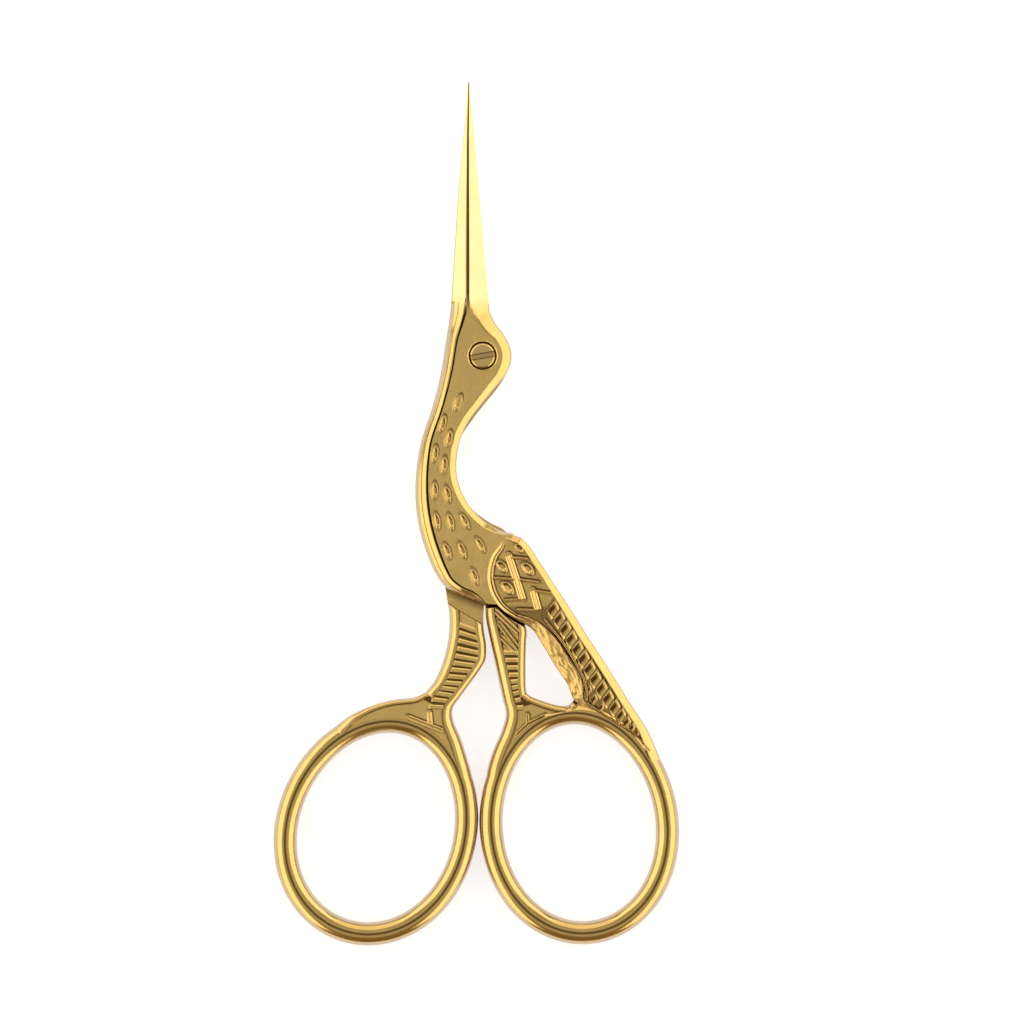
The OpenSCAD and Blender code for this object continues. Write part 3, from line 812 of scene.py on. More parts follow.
def section_of(tree, sides, width, height, table):
    """Closed section: its height follows a table across its width, and its lower half mirrors the upper."""
    circle = add(tree, "GeometryNodeCurvePrimitiveCircle", {"Resolution": sides, "Radius": 0.5})
    spot = place_of(tree)
    high = curve_of(tree, math_of(tree, "ADD", spot[0], 0.5), table)
    off_axis = math_of(tree, "GREATER_THAN", math_of(tree, "ABSOLUTE", spot[1]), 0.001)
    way = product(tree, math_of(tree, "SIGN", spot[1]), off_axis)
    lift = product(tree, high, way, height)
    return moved(tree, circle.outputs[0], Position=vector(tree, product(tree, spot[0], width), lift))


def with_tone(tree, geometry, key, value):
    """The geometry with a named tone on its points."""
    return add(tree, "GeometryNodeStoreNamedAttribute", {
        "Geometry": geometry, "Name": key, "Value": value}, data_type="FLOAT", domain="POINT").outputs[0]


def between(tree, value, low, high, first=0.0, last=1.0):
    """Maps a value from one range to another, and keeps it inside."""
    return add(tree, "ShaderNodeMapRange", {0: value, 1: low, 2: high, 3: first, 4: last}).outputs[0]


def ring_tree():
    """A finger ring: an egg-shaped circle swept with its round section, drawn in at the waist."""
    tree, given = new_tree("finger_ring", [
        ("Hole Length", FLOAT, 0.0129), ("Hole Width", FLOAT, 0.0103), ("Wire", FLOAT, 0.00315),
        ("Height", FLOAT, 0.00336), ("Egg", FLOAT, 0.04), ("Lean", FLOAT, 0.0), ("Centre", VECTOR, None),
        ("Waist", FLOAT, 0.0), ("Stations", COUNT, 240), ("Sides", COUNT, 72), ("Finish", COAT, None)])
    circle = add(tree, "GeometryNodeCurvePrimitiveCircle", {"Resolution": given["Stations"], "Radius": 1.0})
    spot = place_of(tree)
    half_wire = math_of(tree, "DIVIDE", given["Wire"], 2.0)
    wide = math_of(tree, "ADD", given["Hole Width"], half_wire)
    long = math_of(tree, "ADD", given["Hole Length"], half_wire)
    pinch = math_of(tree, "SUBTRACT", 1.0, product(tree, given["Egg"], spot[1]))
    oval = moved(tree, circle.outputs[0], Position=vector(
        tree, product(tree, wide, pinch, spot[0]), product(tree, long, spot[1])))
    upright = add(tree, "GeometryNodeSetCurveNormal", {0: oval}, mode="Z_UP")

    across = np.linspace(-1, 1, 25)
    table = [((x + 1) / 2, float(z) / CROWN) for x, z in zip(across, wire_height(across))]
    half_height = math_of(tree, "DIVIDE", given["Height"], 2.0)
    section = section_of(tree, given["Sides"], given["Wire"], half_height, table)
    section_x = place_of(tree)[0]
    # Painted reflection: a dark line along the crest of the wire, between its two bright bands.
    mid_line = between(tree, math_of(tree, "ABSOLUTE", section_x), 0.00008, 0.00022, 1.0, 0.0)
    section = with_tone(tree, section, "shade_and_patina", mid_line)
    section = with_tone(tree, section, "outward", math_of(tree, "DIVIDE", section_x, half_wire))
    swept = add(tree, "GeometryNodeCurveToMesh", {"Curve": upright.outputs[0], "Profile Curve": section})

    spot = place_of(tree)
    outward = add(tree, "GeometryNodeInputNamedAttribute", {"Name": "outward"}, data_type="FLOAT").outputs[0]
    from_waist = math_of(tree, "DIVIDE", math_of(tree, "SUBTRACT", spot[0], WAIST_X * MM), WAIST_WIDE * MM)
    bell = math_of(tree, "EXPONENT", product(tree, from_waist, from_waist, -1.0))
    upper_half = math_of(tree, "GREATER_THAN", spot[1], 0.0)
    share = product(tree, math_of(tree, "MAXIMUM", outward, 0.0), upper_half)
    drop = product(tree, product(tree, bell, share), product(tree, given["Waist"], -1.0))
    drawn = moved(tree, swept.outputs[0], Offset=vector(tree, y=drop))
    turn = vector(tree, z=product(tree, given["Lean"], -1.0))
    put = add(tree, "GeometryNodeTransform", {
        "Geometry": drawn, "Translation": given["Centre"], "Rotation": turn})
    return close_tree(tree, put.outputs[0], given["Finish"])


def bean_tree():
    """Ovals with a raised rim, a dished middle with a thin ridge and painted shade on one side, one on each
    point.
    """
    tree, given = new_tree("pressed_beans", [
        ("Length", FLOAT, 0.0026), ("Width", FLOAT, 0.00095), ("Rim", FLOAT, 0.00013),
        ("Root", FLOAT, 0.0002), ("Finish", COAT, None)])
    box, spot, top = block(tree, 26, 30)
    x, y = rounded(tree, spot[0], spot[1]), rounded(tree, spot[1], spot[0])
    squares = math_of(tree, "ADD", product(tree, x, x), product(tree, y, y))
    radius = product(tree, math_of(tree, "SQRT", squares), 2.0)
    share = curve_of(tree, radius, [
        (0, 0.15), (0.3, 0.1), (0.5, 0.35), (0.66, 0.9), (0.74, 1), (0.84, 0.85), (0.96, 0.3), (1, 0)])
    ridge = between(tree, math_of(tree, "ABSOLUTE", x), 0.02, 0.13, 0.8, 0.0)
    spine = product(tree, ridge, between(tree, radius, 0.5, 0.7, 1.0, 0.0))
    high = product(tree, math_of(tree, "MAXIMUM", share, spine), given["Rim"])
    # Painted shade: the hollow and the outer edge are darkened on one side only, as if lit from the other.
    right = between(tree, math_of(tree, "MULTIPLY_ADD", y, 0.5, x), -0.02, 0.1)
    hollow = product(tree, between(tree, radius, 0.25, 0.4), between(tree, radius, 0.58, 0.68, 1.0, 0.0))
    outer = product(tree, between(tree, radius, 0.84, 0.94), 0.9)
    dark = product(tree, math_of(tree, "MAXIMUM", hollow, outer), right)
    spot = product(tree, x, given["Width"]), product(tree, y, given["Length"])
    return pressed(tree, given, box, top, spot, high, {"shade_and_patina": dark})


def rounded(tree, own, other):
    """One coordinate of a unit square, drawn in by the other one so that the square turns into a disc."""
    pull = math_of(tree, "MULTIPLY_ADD", product(tree, other, other), -2.0, 1.0)
    return product(tree, own, math_of(tree, "SQRT", pull))


def pressed(tree, given, box, top, spot, high, tones):
    """Ends the tree of a mark: a block this high over its root, with its tones, on each point."""
    rise = math_of(tree, "ADD", high, given["Root"])
    lift = math_of(tree, "SUBTRACT", product(tree, rise, top), given["Root"])
    for key, value in tones.items():
        box = with_tone(tree, box, key, value)
    shaped = moved(tree, box, Position=vector(tree, *spot, lift))
    return close_tree(tree, on_points(tree, given["Geometry"], shaped), given["Finish"])


def on_points(tree, points, mark):
    """Puts a mark on each point with the point's own turn and size."""
    def named(label, kind):
        return add(tree, "GeometryNodeInputNamedAttribute", {"Name": label}, data_type=kind).outputs[0]

    put = add(tree, "GeometryNodeInstanceOnPoints", {
        "Points": points, "Instance": mark, "Rotation": vector(tree, z=named("turn", "FLOAT")),
        "Scale": named("size", "FLOAT_VECTOR")})
    return put.outputs[0]


def block(tree, across, along):
    """A closed box of unit size: its mesh, the places of its points, and 1 on its upper face."""
    box = add(tree, "GeometryNodeMeshCube", {
        "Size": (1, 1, 1), "Vertices X": across, "Vertices Y": along, "Vertices Z": 2})
    spot = place_of(tree)
    return box.outputs[0], spot, math_of(tree, "GREATER_THAN", spot[2], 0.0)


def curve_of(tree, value, table):
    """A value looked up on a smooth curve."""
    made = add(tree, "ShaderNodeFloatCurve", {"Value": value})
    set_curve(made.mapping.curves[0], table)
    return made.outputs[0]


def rung_tree():
    """Flat bars with a sloping upper flank and a steep lower one painted dark as its shadow, one on each
    point.
    """
    tree, given = new_tree("leg_rungs", [
        ("Width", FLOAT, 0.0007), ("Height", FLOAT, 0.0003), ("Root", FLOAT, 0.0003), ("Finish", COAT, None)])
    box, spot, top = block(tree, 14, 16)
    share = curve_of(tree, math_of(tree, "ADD", spot[1], 0.5), [
        (0, 0.1), (0.06, 0.75), (0.14, 0.97), (0.3, 1), (0.58, 0.98), (0.66, 0.92), (1, 0.28)])
    ends = curve_of(tree, math_of(tree, "ADD", spot[0], 0.5), [(0, 0.7), (0.06, 1), (0.94, 1), (1, 0.7)])
    high = product(tree, share, ends, given["Height"])
    # Painted shadow on the steep lower flank.
    steep = between(tree, share, 0.5, 0.95, 1.0, 0.0)
    lower = product(tree, steep, math_of(tree, "LESS_THAN", spot[1], 0.0))
    tones = {"shade_and_patina": lower, "satin": between(tree, share, 0.94, 0.99)}
    spot = product(tree, spot[0], MM), product(tree, spot[1], given["Width"])
    return pressed(tree, given, box, top, spot, high, tones)


def set_curve(curve, points):
    """Puts these points on a float curve."""
    while len(curve.points) > 2:
        curve.points.remove(curve.points[1])
    curve.points[0].location, curve.points[-1].location = points[0], points[-1]
    for x, y in points[1:-1]:
        curve.points.new(x, y)


def leaf_tree():
    """Slanted cells with a thin raised rim, a hollow at one end painted dark as its shade, and a bright rise
    at the other.
    """
    tree, given = new_tree("tail_leaves", [
        ("Length", FLOAT, 0.0016), ("Width", FLOAT, 0.00112), ("Height", FLOAT, 0.0003),
        ("Shear", FLOAT, 0.00018), ("Root", FLOAT, 0.0003), ("Finish", COAT, None)])
    box, spot, top = block(tree, 30, 30)
    over, along = math_of(tree, "ADD", spot[0], 0.5), math_of(tree, "ADD", spot[1], 0.5)
    across = curve_of(tree, over, [
        (0, 0.7), (0.035, 0.9), (0.08, 1), (0.13, 0.85), (0.22, 0.3), (0.4, 0.1), (0.7, 0.42), (0.85, 0.55),
        (1, 0.4)])
    ends = curve_of(tree, along, [
        (0, 0.6), (0.035, 0.8), (0.08, 0.95), (0.13, 0.8), (0.22, 0.1), (0.5, 0.1), (0.85, 0.7),
        (0.93, 0.95), (1, 0.7)])
    rim = both_ways(tree, over, along, [(0, 0), (0.03, 1), (0.5, 1), (0.97, 1), (1, 0)])
    high = product(tree, math_of(tree, "MAXIMUM", across, ends), rim, given["Height"])
    # Painted shade in the hollow and on the low flanks of the rim.
    hollow_x = curve_of(tree, over, [
        (0, 0), (0.11, 0), (0.17, 1), (0.45, 0.95), (0.68, 0.3), (0.85, 0), (1, 0)])
    hollow_y = curve_of(tree, along, [(0, 0), (0.1, 0), (0.16, 1), (0.55, 1), (0.8, 0.5), (0.93, 0), (1, 0)])
    flank = between(tree, rim, 0.3, 0.9, 1.0, 0.0)
    dark = math_of(tree, "MAXIMUM", product(tree, hollow_x, hollow_y), flank)
    inside = both_ways(tree, over, along, [
        (0, 0), (0.16, 0), (0.24, 1), (0.5, 1), (0.78, 1), (0.86, 0), (1, 0)])

    # Two corners of each cell are blunt and the other two sharp
    corner = product(tree, spot[0], spot[1], 4.0)
    blunt = math_of(tree, "MAXIMUM", corner, 0.0)
    sharp = math_of(tree, "MAXIMUM", product(tree, corner, -1.0), 0.0)
    grown = math_of(tree, "MULTIPLY_ADD", product(tree, blunt, blunt), -0.26, 1.0)
    grown = math_of(tree, "MULTIPLY_ADD", product(tree, sharp, sharp), 0.14, grown)
    slanted = math_of(tree, "MULTIPLY_ADD", spot[0], given["Shear"], product(tree, spot[1], given["Length"]))
    spot = product(tree, spot[0], given["Width"], grown), product(tree, slanted, grown)
    return pressed(tree, given, box, top, spot, high, {"shade_and_patina": dark, "satin": inside})


def both_ways(tree, over, along, table):
    """One curve looked up both across and along, multiplied together."""
    return product(tree, curve_of(tree, over, table), curve_of(tree, along, table))


def line_tree(name, profile):
    """Raised lines with this section along the base mesh's edges, one or two ridges side by side."""
    tree, given = new_tree(name, [
        ("Width", FLOAT, 0.00042), ("Height", FLOAT, 0.00026), ("Split", FLOAT, 0.0), ("Finish", COAT, None)])
    path = add(tree, "GeometryNodeMeshToCurve", {"Mesh": given["Geometry"]})
    upright = add(tree, "GeometryNodeSetCurveNormal", {0: path.outputs[0]}, mode="Z_UP")
    section = section_of(tree, 18, given["Width"], given["Height"], profile)
    # Painted shade on the low part of each section, near its root.
    high = math_of(tree, "DIVIDE", math_of(tree, "ABSOLUTE", place_of(tree)[1]), given["Height"])
    section = with_tone(tree, section, "shade_and_patina", between(tree, high, 0.46, 0.56, 1.0, 0.0))
    joined = tree.nodes.new("GeometryNodeJoinGeometry")
    for way in (0.5, -0.5):
        shift = vector(tree, product(tree, given["Split"], way))
        side = add(tree, "GeometryNodeTransform", {"Geometry": section, "Translation": shift})
        tree.links.new(side.outputs[0], joined.inputs[0])
    swept = add(tree, "GeometryNodeCurveToMesh", {
        "Curve": upright.outputs[0], "Profile Curve": joined.outputs[0], "Fill Caps": True})
    return close_tree(tree, swept.outputs[0], given["Finish"])


def point_mesh(name, marks):
    """Points that carry a turn and a size; a mark is (x, y, z, turn, (size x, y, z)) in millimetres."""
    mesh = bpy.data.meshes.new(name)
    mesh.from_pydata([(x * MM, y * MM, z * MM) for x, y, z, _, _ in marks], [], [])
    turn = mesh.attributes.new("turn", "FLOAT", "POINT")
    turn.data.foreach_set("value", [m[3] for m in marks])
    size = mesh.attributes.new("size", "FLOAT_VECTOR", "POINT")
    size.data.foreach_set("vector", [v for m in marks for v in m[4]])
    return mesh


def path_mesh(name, paths):
    """Edges along paths of (x, y, z) points in millimetres."""
    points, edges = [], []
    for path in paths:
        start = len(points)
        points += [tuple(v * MM for v in p) for p in path]
        edges += [(i, i + 1) for i in range(start, start + len(path) - 1)]
    mesh = bpy.data.meshes.new(name)
    mesh.from_pydata(points, edges, [])
    return mesh


def both_faces(marks):
    """The same marks on the upper and the lower face."""
    return marks + [(x, y, THICK - z, turn, (*size[:2], -size[2])) for x, y, z, turn, size in marks]


# Finishes.
def mix_values(tree, share, first, second):
    """A number that goes from the first to the second with the share."""
    return add(tree, "ShaderNodeMix", {0: share, 2: first, 3: second}, data_type="FLOAT").outputs[0]


def mix_colours(tree, share, first, second):
    """A colour that goes from the first to the second with the share."""
    return add(tree, "ShaderNodeMix", {0: share, 6: first, 7: (*second, 1)}, data_type="RGBA").outputs[2]


def brass(name, colour, pale, edge, dark, polish, satin):
    """Plated brass: polished borders, fine satin grain on the flats, a painted reflection tint on steep
    faces, and painted shade in grooves, hollows and beside raised marks.
    """
    material = bpy.data.materials.new(name)
    material.use_nodes = True
    tree = material.node_tree
    tree.nodes.clear()
    spot = add(tree, "ShaderNodeTexCoord").outputs
    flats, grooves, ground = [
        add(tree, "ShaderNodeAttribute", attribute_name=key).outputs["Fac"]
        for key in ("satin", "shade_and_patina", "ground")]
    cloud, grain = [
        add(tree, "ShaderNodeTexNoise", {
            "Vector": spot["Object"], "Scale": scale, "Detail": detail, "Roughness": 0.6}).outputs["Fac"]
        for scale, detail in ((260.0, 4.0), (5200.0, 3.0))]

    upright = add(tree, "ShaderNodeSeparateXYZ", {0: spot["Normal"]}).outputs[2]
    # Painted reflection: steep faces take the less golden edge colour, standing in for the pale floor they
    # reflect.
    steep = between(tree, math_of(tree, "ABSOLUTE", upright), 0.66, 0.78, 1.0, 0.0)
    tint = mix_colours(tree, ground, (*colour, 1), pale)
    tint = mix_colours(tree, steep, tint, edge)
    # Painted shade: the dark colour goes where the pieces set their dark tone, in grooves, hollows and beside
    # raised marks; a little of it is random patina.
    tint = mix_colours(tree, grooves, tint, dark)
    speck = mix_values(tree, flats, 1.0, between(tree, grain, 0.35, 0.65, 0.90, 1.08))
    tone = product(tree, between(tree, cloud, 0.3, 0.7, 0.92, 1.04), speck)
    shade = add(tree, "ShaderNodeVectorMath", {0: tint, 3: tone}, operation="SCALE")

    vary = between(tree, cloud, 0.3, 0.7, -0.03, 0.04)
    rough = math_of(tree, "ADD", mix_values(tree, flats, polish, satin), vary)
    strength = mix_values(tree, flats, 0.10, 0.45)
    bump = add(tree, "ShaderNodeBump", {"Height": grain, "Strength": strength, "Distance": 0.00004})
    shader = add(tree, "ShaderNodeBsdfPrincipled", {
        "Base Color": shade.outputs[0], "Metallic": 1.0, "Roughness": rough, "Normal": bump.outputs[0]})
    out = tree.nodes.new("ShaderNodeOutputMaterial")
    tree.links.new(shader.outputs[0], out.inputs[0])
    return material


def finish_for(which):
    """The material of one piece group, made once."""
    found = bpy.data.materials.get(which)
    if found:
        return found
    gold = bpy.context.scene.scissors_gold
    colour, polish = gold.bright, gold.polish
    if which == "screw_brass":
        colour, polish = gold.screw, gold.polish + 0.08
    return brass(which, colour, gold.pale, gold.edge, gold.groove, polish, gold.satin)


# Sizes a user would change.
class ScissorsBody(PropertyGroup):
    feather_length: FloatProperty(
        name="Feather Length", description="Length of a neck feather", default=0.0023, unit="LENGTH")
    feather_width: FloatProperty(
        name="Feather Width", description="Width of a neck feather", default=0.00095, unit="LENGTH")
    mark_height: FloatProperty(
        name="Mark Height", description="How far marks stand above the panel", default=0.0002, unit="LENGTH")
    back_rungs: IntProperty(
        name="Back Rungs", description="Rungs on the back leg", default=13, min=4, max=20)
    front_rungs: IntProperty(
        name="Front Rungs", description="Rungs on the front leg", default=9, min=4, max=16)
    leaves: IntProperty(name="Tail Leaves", description="Leaves down the tail", default=15, min=6, max=24)


class ScissorsRings(PropertyGroup):
    wire: FloatProperty(name="Wire", description="Width of the ring wire", default=0.00315, unit="LENGTH")
    left_length: FloatProperty(
        name="Left Hole Length", description="Half length of the left hole", default=0.0129, unit="LENGTH")
    left_width: FloatProperty(
        name="Left Hole Width", description="Half width of the left hole", default=0.0103, unit="LENGTH")
    left_lean: FloatProperty(
        name="Left Lean", description="Lean of the left ring", default=math.radians(18), subtype="ANGLE")
    right_length: FloatProperty(
        name="Right Hole Length", description="Half length of the right hole", default=0.0132, unit="LENGTH")
    right_width: FloatProperty(
        name="Right Hole Width", description="Half width of the right hole", default=0.0102, unit="LENGTH")
    right_lean: FloatProperty(
        name="Right Lean", description="Lean of the right ring", default=math.radians(-6), subtype="ANGLE")
    egg: FloatProperty(name="Egg", description="How much narrower the top is", default=0.04)


class ScissorsGold(PropertyGroup):
    bright: FloatVectorProperty(
        name="Brass", description="Colour of the plating", subtype="COLOR",
        default=(0.93, 0.62, 0.20), min=0, max=1)
    pale: FloatVectorProperty(
        name="Ground Facets", description="Colour of the ground blade", subtype="COLOR",
        default=(0.93, 0.76, 0.36), min=0, max=1)
    # Steep faces take this colour as a painted reflection of the pale floor.
    edge: FloatVectorProperty(
        name="Edge", description="Colour of the steep edges", subtype="COLOR",
        default=(0.62, 0.48, 0.33), min=0, max=1)
    # Painted shade in grooves, hollows and beside raised marks takes this colour.
    groove: FloatVectorProperty(
        name="Groove", description="Colour down in the grooves", subtype="COLOR",
        default=(0.11, 0.05, 0.008), min=0, max=1)
    screw: FloatVectorProperty(
        name="Screw", description="Colour of the screw", subtype="COLOR",
        default=(0.85, 0.56, 0.20), min=0, max=1)
    polish: FloatProperty(
        name="Polish", description="Roughness of the polished borders", default=0.16, min=0, max=1)
    satin: FloatProperty(
        name="Satin", description="Roughness of the satin flats", default=0.33, min=0, max=1)


class ScissorsStage(PropertyGroup):
    lens: FloatProperty(name="Lens", description="Focal length of the camera", default=300.0)
    width: FloatProperty(
        name="Frame Width", description="Width that the picture shows", default=0.1372, unit="LENGTH")
    aim: FloatVectorProperty(
        name="Aim", description="Point under the middle of the picture", subtype="TRANSLATION",
        default=(0.00393, -0.0209, 0.0017))
    side_light: FloatProperty(
        name="Side Light", description="Brightness of the soft boxes", default=1.2)
    top_light: FloatProperty(
        name="Top Light", description="Brightness of the soft box beyond the tip", default=0.8)
    overhead: FloatProperty(name="Overhead", description="Brightness of the sky above", default=0.5)


# Pieces.
def neck_marks():
    """One point for each neck feather, on the plateau, which is a little higher near the head."""
    level = MID + GAP / 2 + 0.88 * HALF
    out = []
    for x, y, lean in FEATHERS:
        high = level if y < -9 else level + 0.02
        out.append((x, y, high, -math.radians(lean), (1, 1, 1)))
    return out


def press(name, body, tree, base, values):
    """Grows one kind of mark on its base mesh and settles it on its half."""
    finish = finish_for(body + "_brass")
    piece = grow(name, tree, base, {**values, "Finish": finish})
    settle(piece, body, body + "_half", finish)


def leg_marks(rows, first, run, count):
    """Rungs across a leg's panel at even steps along its rows."""
    fine = blend_rows(rows, 2)
    pitch = run / (count - 1)
    out = []
    for k in range(count):
        s = first + k * pitch
        i = int(s)
        r = fine[i] + (fine[min(i + 1, len(fine) - 1)] - fine[i]) * (s - i)
        across = r[2:4] - r[0:2]
        unit = across / np.hypot(*across)
        near, far = r[0:2] + unit * (r[4] + 0.05), r[2:4] - unit * (r[5] + 0.02)
        mid = (near + far) / 2
        length = float(np.hypot(*(far - near)))
        turn = math.atan2(across[1], across[0])
        out.append((mid[0], mid[1], MID + CROWN - PANEL_DEPTH, turn, (length, 1, 1)))
    return both_faces(out)


def leaf_steps(count):
    """Share along the tail and size of each leaf; the last third grows smaller towards the tip."""
    sizes = 1 - 0.42 * step((np.arange(count) / (count - 1) - 0.62) / 0.38)
    steps = np.concatenate([[0], np.cumsum((sizes[1:] + sizes[:-1]) / 2)])
    return list(zip((steps / steps[-1]).tolist(), sizes.tolist()))


def spot_on(path, share):
    """Point at this share of a smooth run through the path."""
    fine = blend_rows(path, 12)
    lengths = np.concatenate([[0], np.cumsum(np.hypot(*np.diff(fine, axis=0).T))])
    at = share * lengths[-1]
    return float(np.interp(at, lengths, fine[:, 0])), float(np.interp(at, lengths, fine[:, 1]))


def front_rungs(count=9):
    """Points of the rungs down the front leg."""
    return leg_marks(FRONT_LEG_ROWS, *FRONT_RUNGS, count)


def back_rungs(count=13):
    """Points of the rungs down the back leg."""
    return leg_marks(BACK_LEG_ROWS, *BACK_RUNGS, count)


class SCISSORS_OT_front_body(Operator):
    """Blade, neck, wing, tail, leg and foot of the front half"""

    bl_idname = "scissors.front_body"
    bl_label = "Front Half"

    def execute(self, context):
        neck = make_neck("front_neck", 0, True, context.scene.scissors_body)
        wing = make_wing("front_wing")
        legs = make_legs("front_legs", "right", (FRONT_LEG_ROWS, FRONT_FOOT_ROWS), front_legs)
        lip = make_lathe("screw_seat", SEAT)
        for piece in (neck, wing, legs, lip):
            settle(piece, "front", "front_half", finish_for("front_brass"))
        return {"FINISHED"}


def wing_shape(places, z, tl, tr, k):
    """Painted shade as dark lines in the borders and round the marks, and a hammered wall beside the window.
    """
    maker = np.random.default_rng(7)
    flat = places.reshape(-1, 2)
    panel = (tl >= 1) & (tr >= 1)

    # Soft random lumps on the wall, from below the double rim to above the tail's tip
    lumps = maker.normal(0, 1, z.shape)
    for axis in (0, 1, 1, 0, 1):
        lumps = (np.roll(lumps, 1, axis) + lumps + np.roll(lumps, -1, axis)) / 3
    lumps /= lumps.std()
    top = z.max()
    along = step((k - 0.44) / 0.06) * (1 - step((k - 0.80) / 0.04))
    wall = (tl < 0.85) * along * step(tl / 0.1)
    z = z + 0.035 * lumps * wall
    shade_and_patina = np.maximum(0, 0.5 * wall * step((lumps - 1.0) / 0.8))
    satin = np.maximum(np.where(panel, 1.0, 0.0), wall)

    # Painted shade as dark lines: between the two parts of the double rim, and inside both borders
    arc = 1 - step((k - 0.44) / 0.04)
    tail = step((-33.2 - places[..., 1]) / 0.6)
    shade_and_patina = np.maximum(shade_and_patina, arc * np.exp(-(((tl - 0.49) / 0.045) ** 2)))
    shade_and_patina = np.maximum(shade_and_patina, np.where(tl < 1, step((tl - 0.84) / 0.06), 0.0) * 0.95)
    shade_and_patina = np.maximum(shade_and_patina, np.where(tr < 1, step((tr - 0.90) / 0.06), 0.0) * 0.9 * tail)

    # A rough band inside the tail's right border
    from_edge = np.hypot(*np.moveaxis(places - places[:, -1:], -1, 0))
    band = np.exp(-(((from_edge - 1.42) / 0.24) ** 2)) * step((-32.5 - places[..., 1]) / 1.5)
    z = z + 0.05 * lumps * band
    shade_and_patina = np.maximum(shade_and_patina, band * step((lumps + 0.9) / 0.6))
    shade_and_patina = np.maximum(shade_and_patina, (0.10 + 0.05 * lumps) * panel)

    # Grooves beside the raised lines, with painted shadow in them, and painted shade round the seeds, both
    # darkest on the upper right; the tail's panel is darker all over
    for paths, reach in ((WING_RIBBONS, 0.58), (WING_LINES, 0.27), (TAIL_RIDGES, 0.30)):
        groove = shadow_line(flat, paths, reach).reshape(z.shape) * panel
        z = z - 0.07 * groove
        shade_and_patina = np.maximum(shade_and_patina, groove)
    for x, y, size in WING_SEEDS:
        share = oval_share(places, (x, y), -45, 2.3 * size, 1.45 * size)
        groove = np.exp(-(((share - 1.12) / 0.14) ** 2)) * panel
        shade_and_patina = np.maximum(shade_and_patina, groove * np.clip(0.5 + 0.4 * facing(places, (x, y), 1), 0, 1))
    shade_and_patina = np.maximum(shade_and_patina, 0.6 * tail * panel)
    return np.minimum(z, top), satin * (1 - tail * panel), shade_and_patina


class SCISSORS_OT_back_body(Operator):
    """Blade, neck, leg and foot of the back half"""

    bl_idname = "scissors.back_body"
    bl_label = "Back Half"

    def execute(self, context):
        neck = make_neck("back_neck", 0.25, False, context.scene.scissors_body)
        legs = make_legs("back_legs", "left", (BACK_LEG_ROWS, BACK_FOOT_ROWS), back_legs)
        for piece in (neck, legs):
            settle(piece, "back", "back_half", finish_for("back_brass"))
        return {"FINISHED"}


class SCISSORS_OT_rings(Operator):
    """The two finger rings"""

    bl_idname = "scissors.rings"
    bl_label = "Finger Rings"

    def execute(self, context):
        sizes = context.scene.scissors_rings
        tree = ring_tree()
        for which, body, waist in (("right", "front", WAIST * MM), ("left", "back", 0.0)):
            name = which + "_ring"
            centre = (*RINGS[which][0], MID)
            press(name, body, tree, bpy.data.meshes.new(name), {
                "Hole Length": getattr(sizes, which + "_length"),
                "Hole Width": getattr(sizes, which + "_width"),
                "Lean": getattr(sizes, which + "_lean"), "Centre": tuple(v * MM for v in centre),
                "Wire": sizes.wire, "Height": 2 * CROWN * MM, "Egg": sizes.egg, "Waist": waist})
        return {"FINISHED"}


class SCISSORS_OT_marks(Operator):
    """Feathers, wing marks, tail leaves and leg rungs"""

    bl_idname = "scissors.marks"
    bl_label = "Pressed Marks"

    def execute(self, context):
        sizes = context.scene.scissors_body
        press_feathers(sizes)
        press_lines()
        press_rungs(sizes)
        press_leaves(sizes)
        return {"FINISHED"}


def press_feathers(sizes):
    """Feathers on both necks and seeds on the wing."""
    beans = bean_tree()
    upper = neck_marks()
    lower = [(x, y, THICK - z, turn, (1, 1, -1)) for x, y, z, turn, _ in upper]
    seeds = both_faces([
        (x, y, PANEL_LEVEL, math.radians(45), (size, size, 1)) for x, y, size in WING_SEEDS])
    feather = {"Length": sizes.feather_length, "Width": sizes.feather_width, "Rim": 0.00013}
    seed = {"Length": 0.00225, "Width": 0.0014, "Rim": 0.00018}
    for name, body, marks, values in (
        ("front_feathers", "front", upper, feather),
        ("back_feathers", "back", lower, feather),
        ("wing_seeds", "front", seeds, seed),
    ):
        press(name, body, beans, point_mesh(name, marks), values)


def press_lines():
    """Ribbons, bars and ridges on the wing, bars on the front leg and claws on both feet."""
    even = line_tree("raised_lines", [
        (0, 0.3), (0.05, 0.48), (0.2, 0.68), (0.42, 0.97), (0.5, 1), (0.58, 0.97), (0.8, 0.68), (0.95, 0.48),
        (1, 0.3)])
    slanted = line_tree("slanted_lines", [(0, 0.3), (0.04, 0.5), (0.78, 1), (0.9, 0.95), (1, 0.3)])
    for name, body, lines, marks, level, width, tall, split in (
        ("wing_ribbons", "front", even, WING_RIBBONS, PANEL_LEVEL, 0.00058, 0.00028, 0.00046),
        ("wing_lines", "front", slanted, WING_LINES, PANEL_LEVEL, 0.00044, 0.00031, 0),
        ("tail_ridges", "front", even, TAIL_RIDGES, PANEL_LEVEL, 0.00048, 0.00030, 0),
        ("leg_bars", "front", even, DIAGONALS, PANEL_LEVEL, 0.00044, 0.00030, 0.00048),
        ("front_claw", "front", even, FRONT_CLAW, CLAW_LEVEL, 0.00058, 0.00028, 0),
        ("back_claw", "back", even, BACK_CLAW, CLAW_LEVEL, 0.00042, 0.00026, 0.00044),
    ):
        paths = [[(x, y, z) for x, y in path] for path in marks for z in (level, THICK - level)]
        press(name, body, lines, path_mesh(name, paths), {"Width": width, "Height": tall, "Split": split})


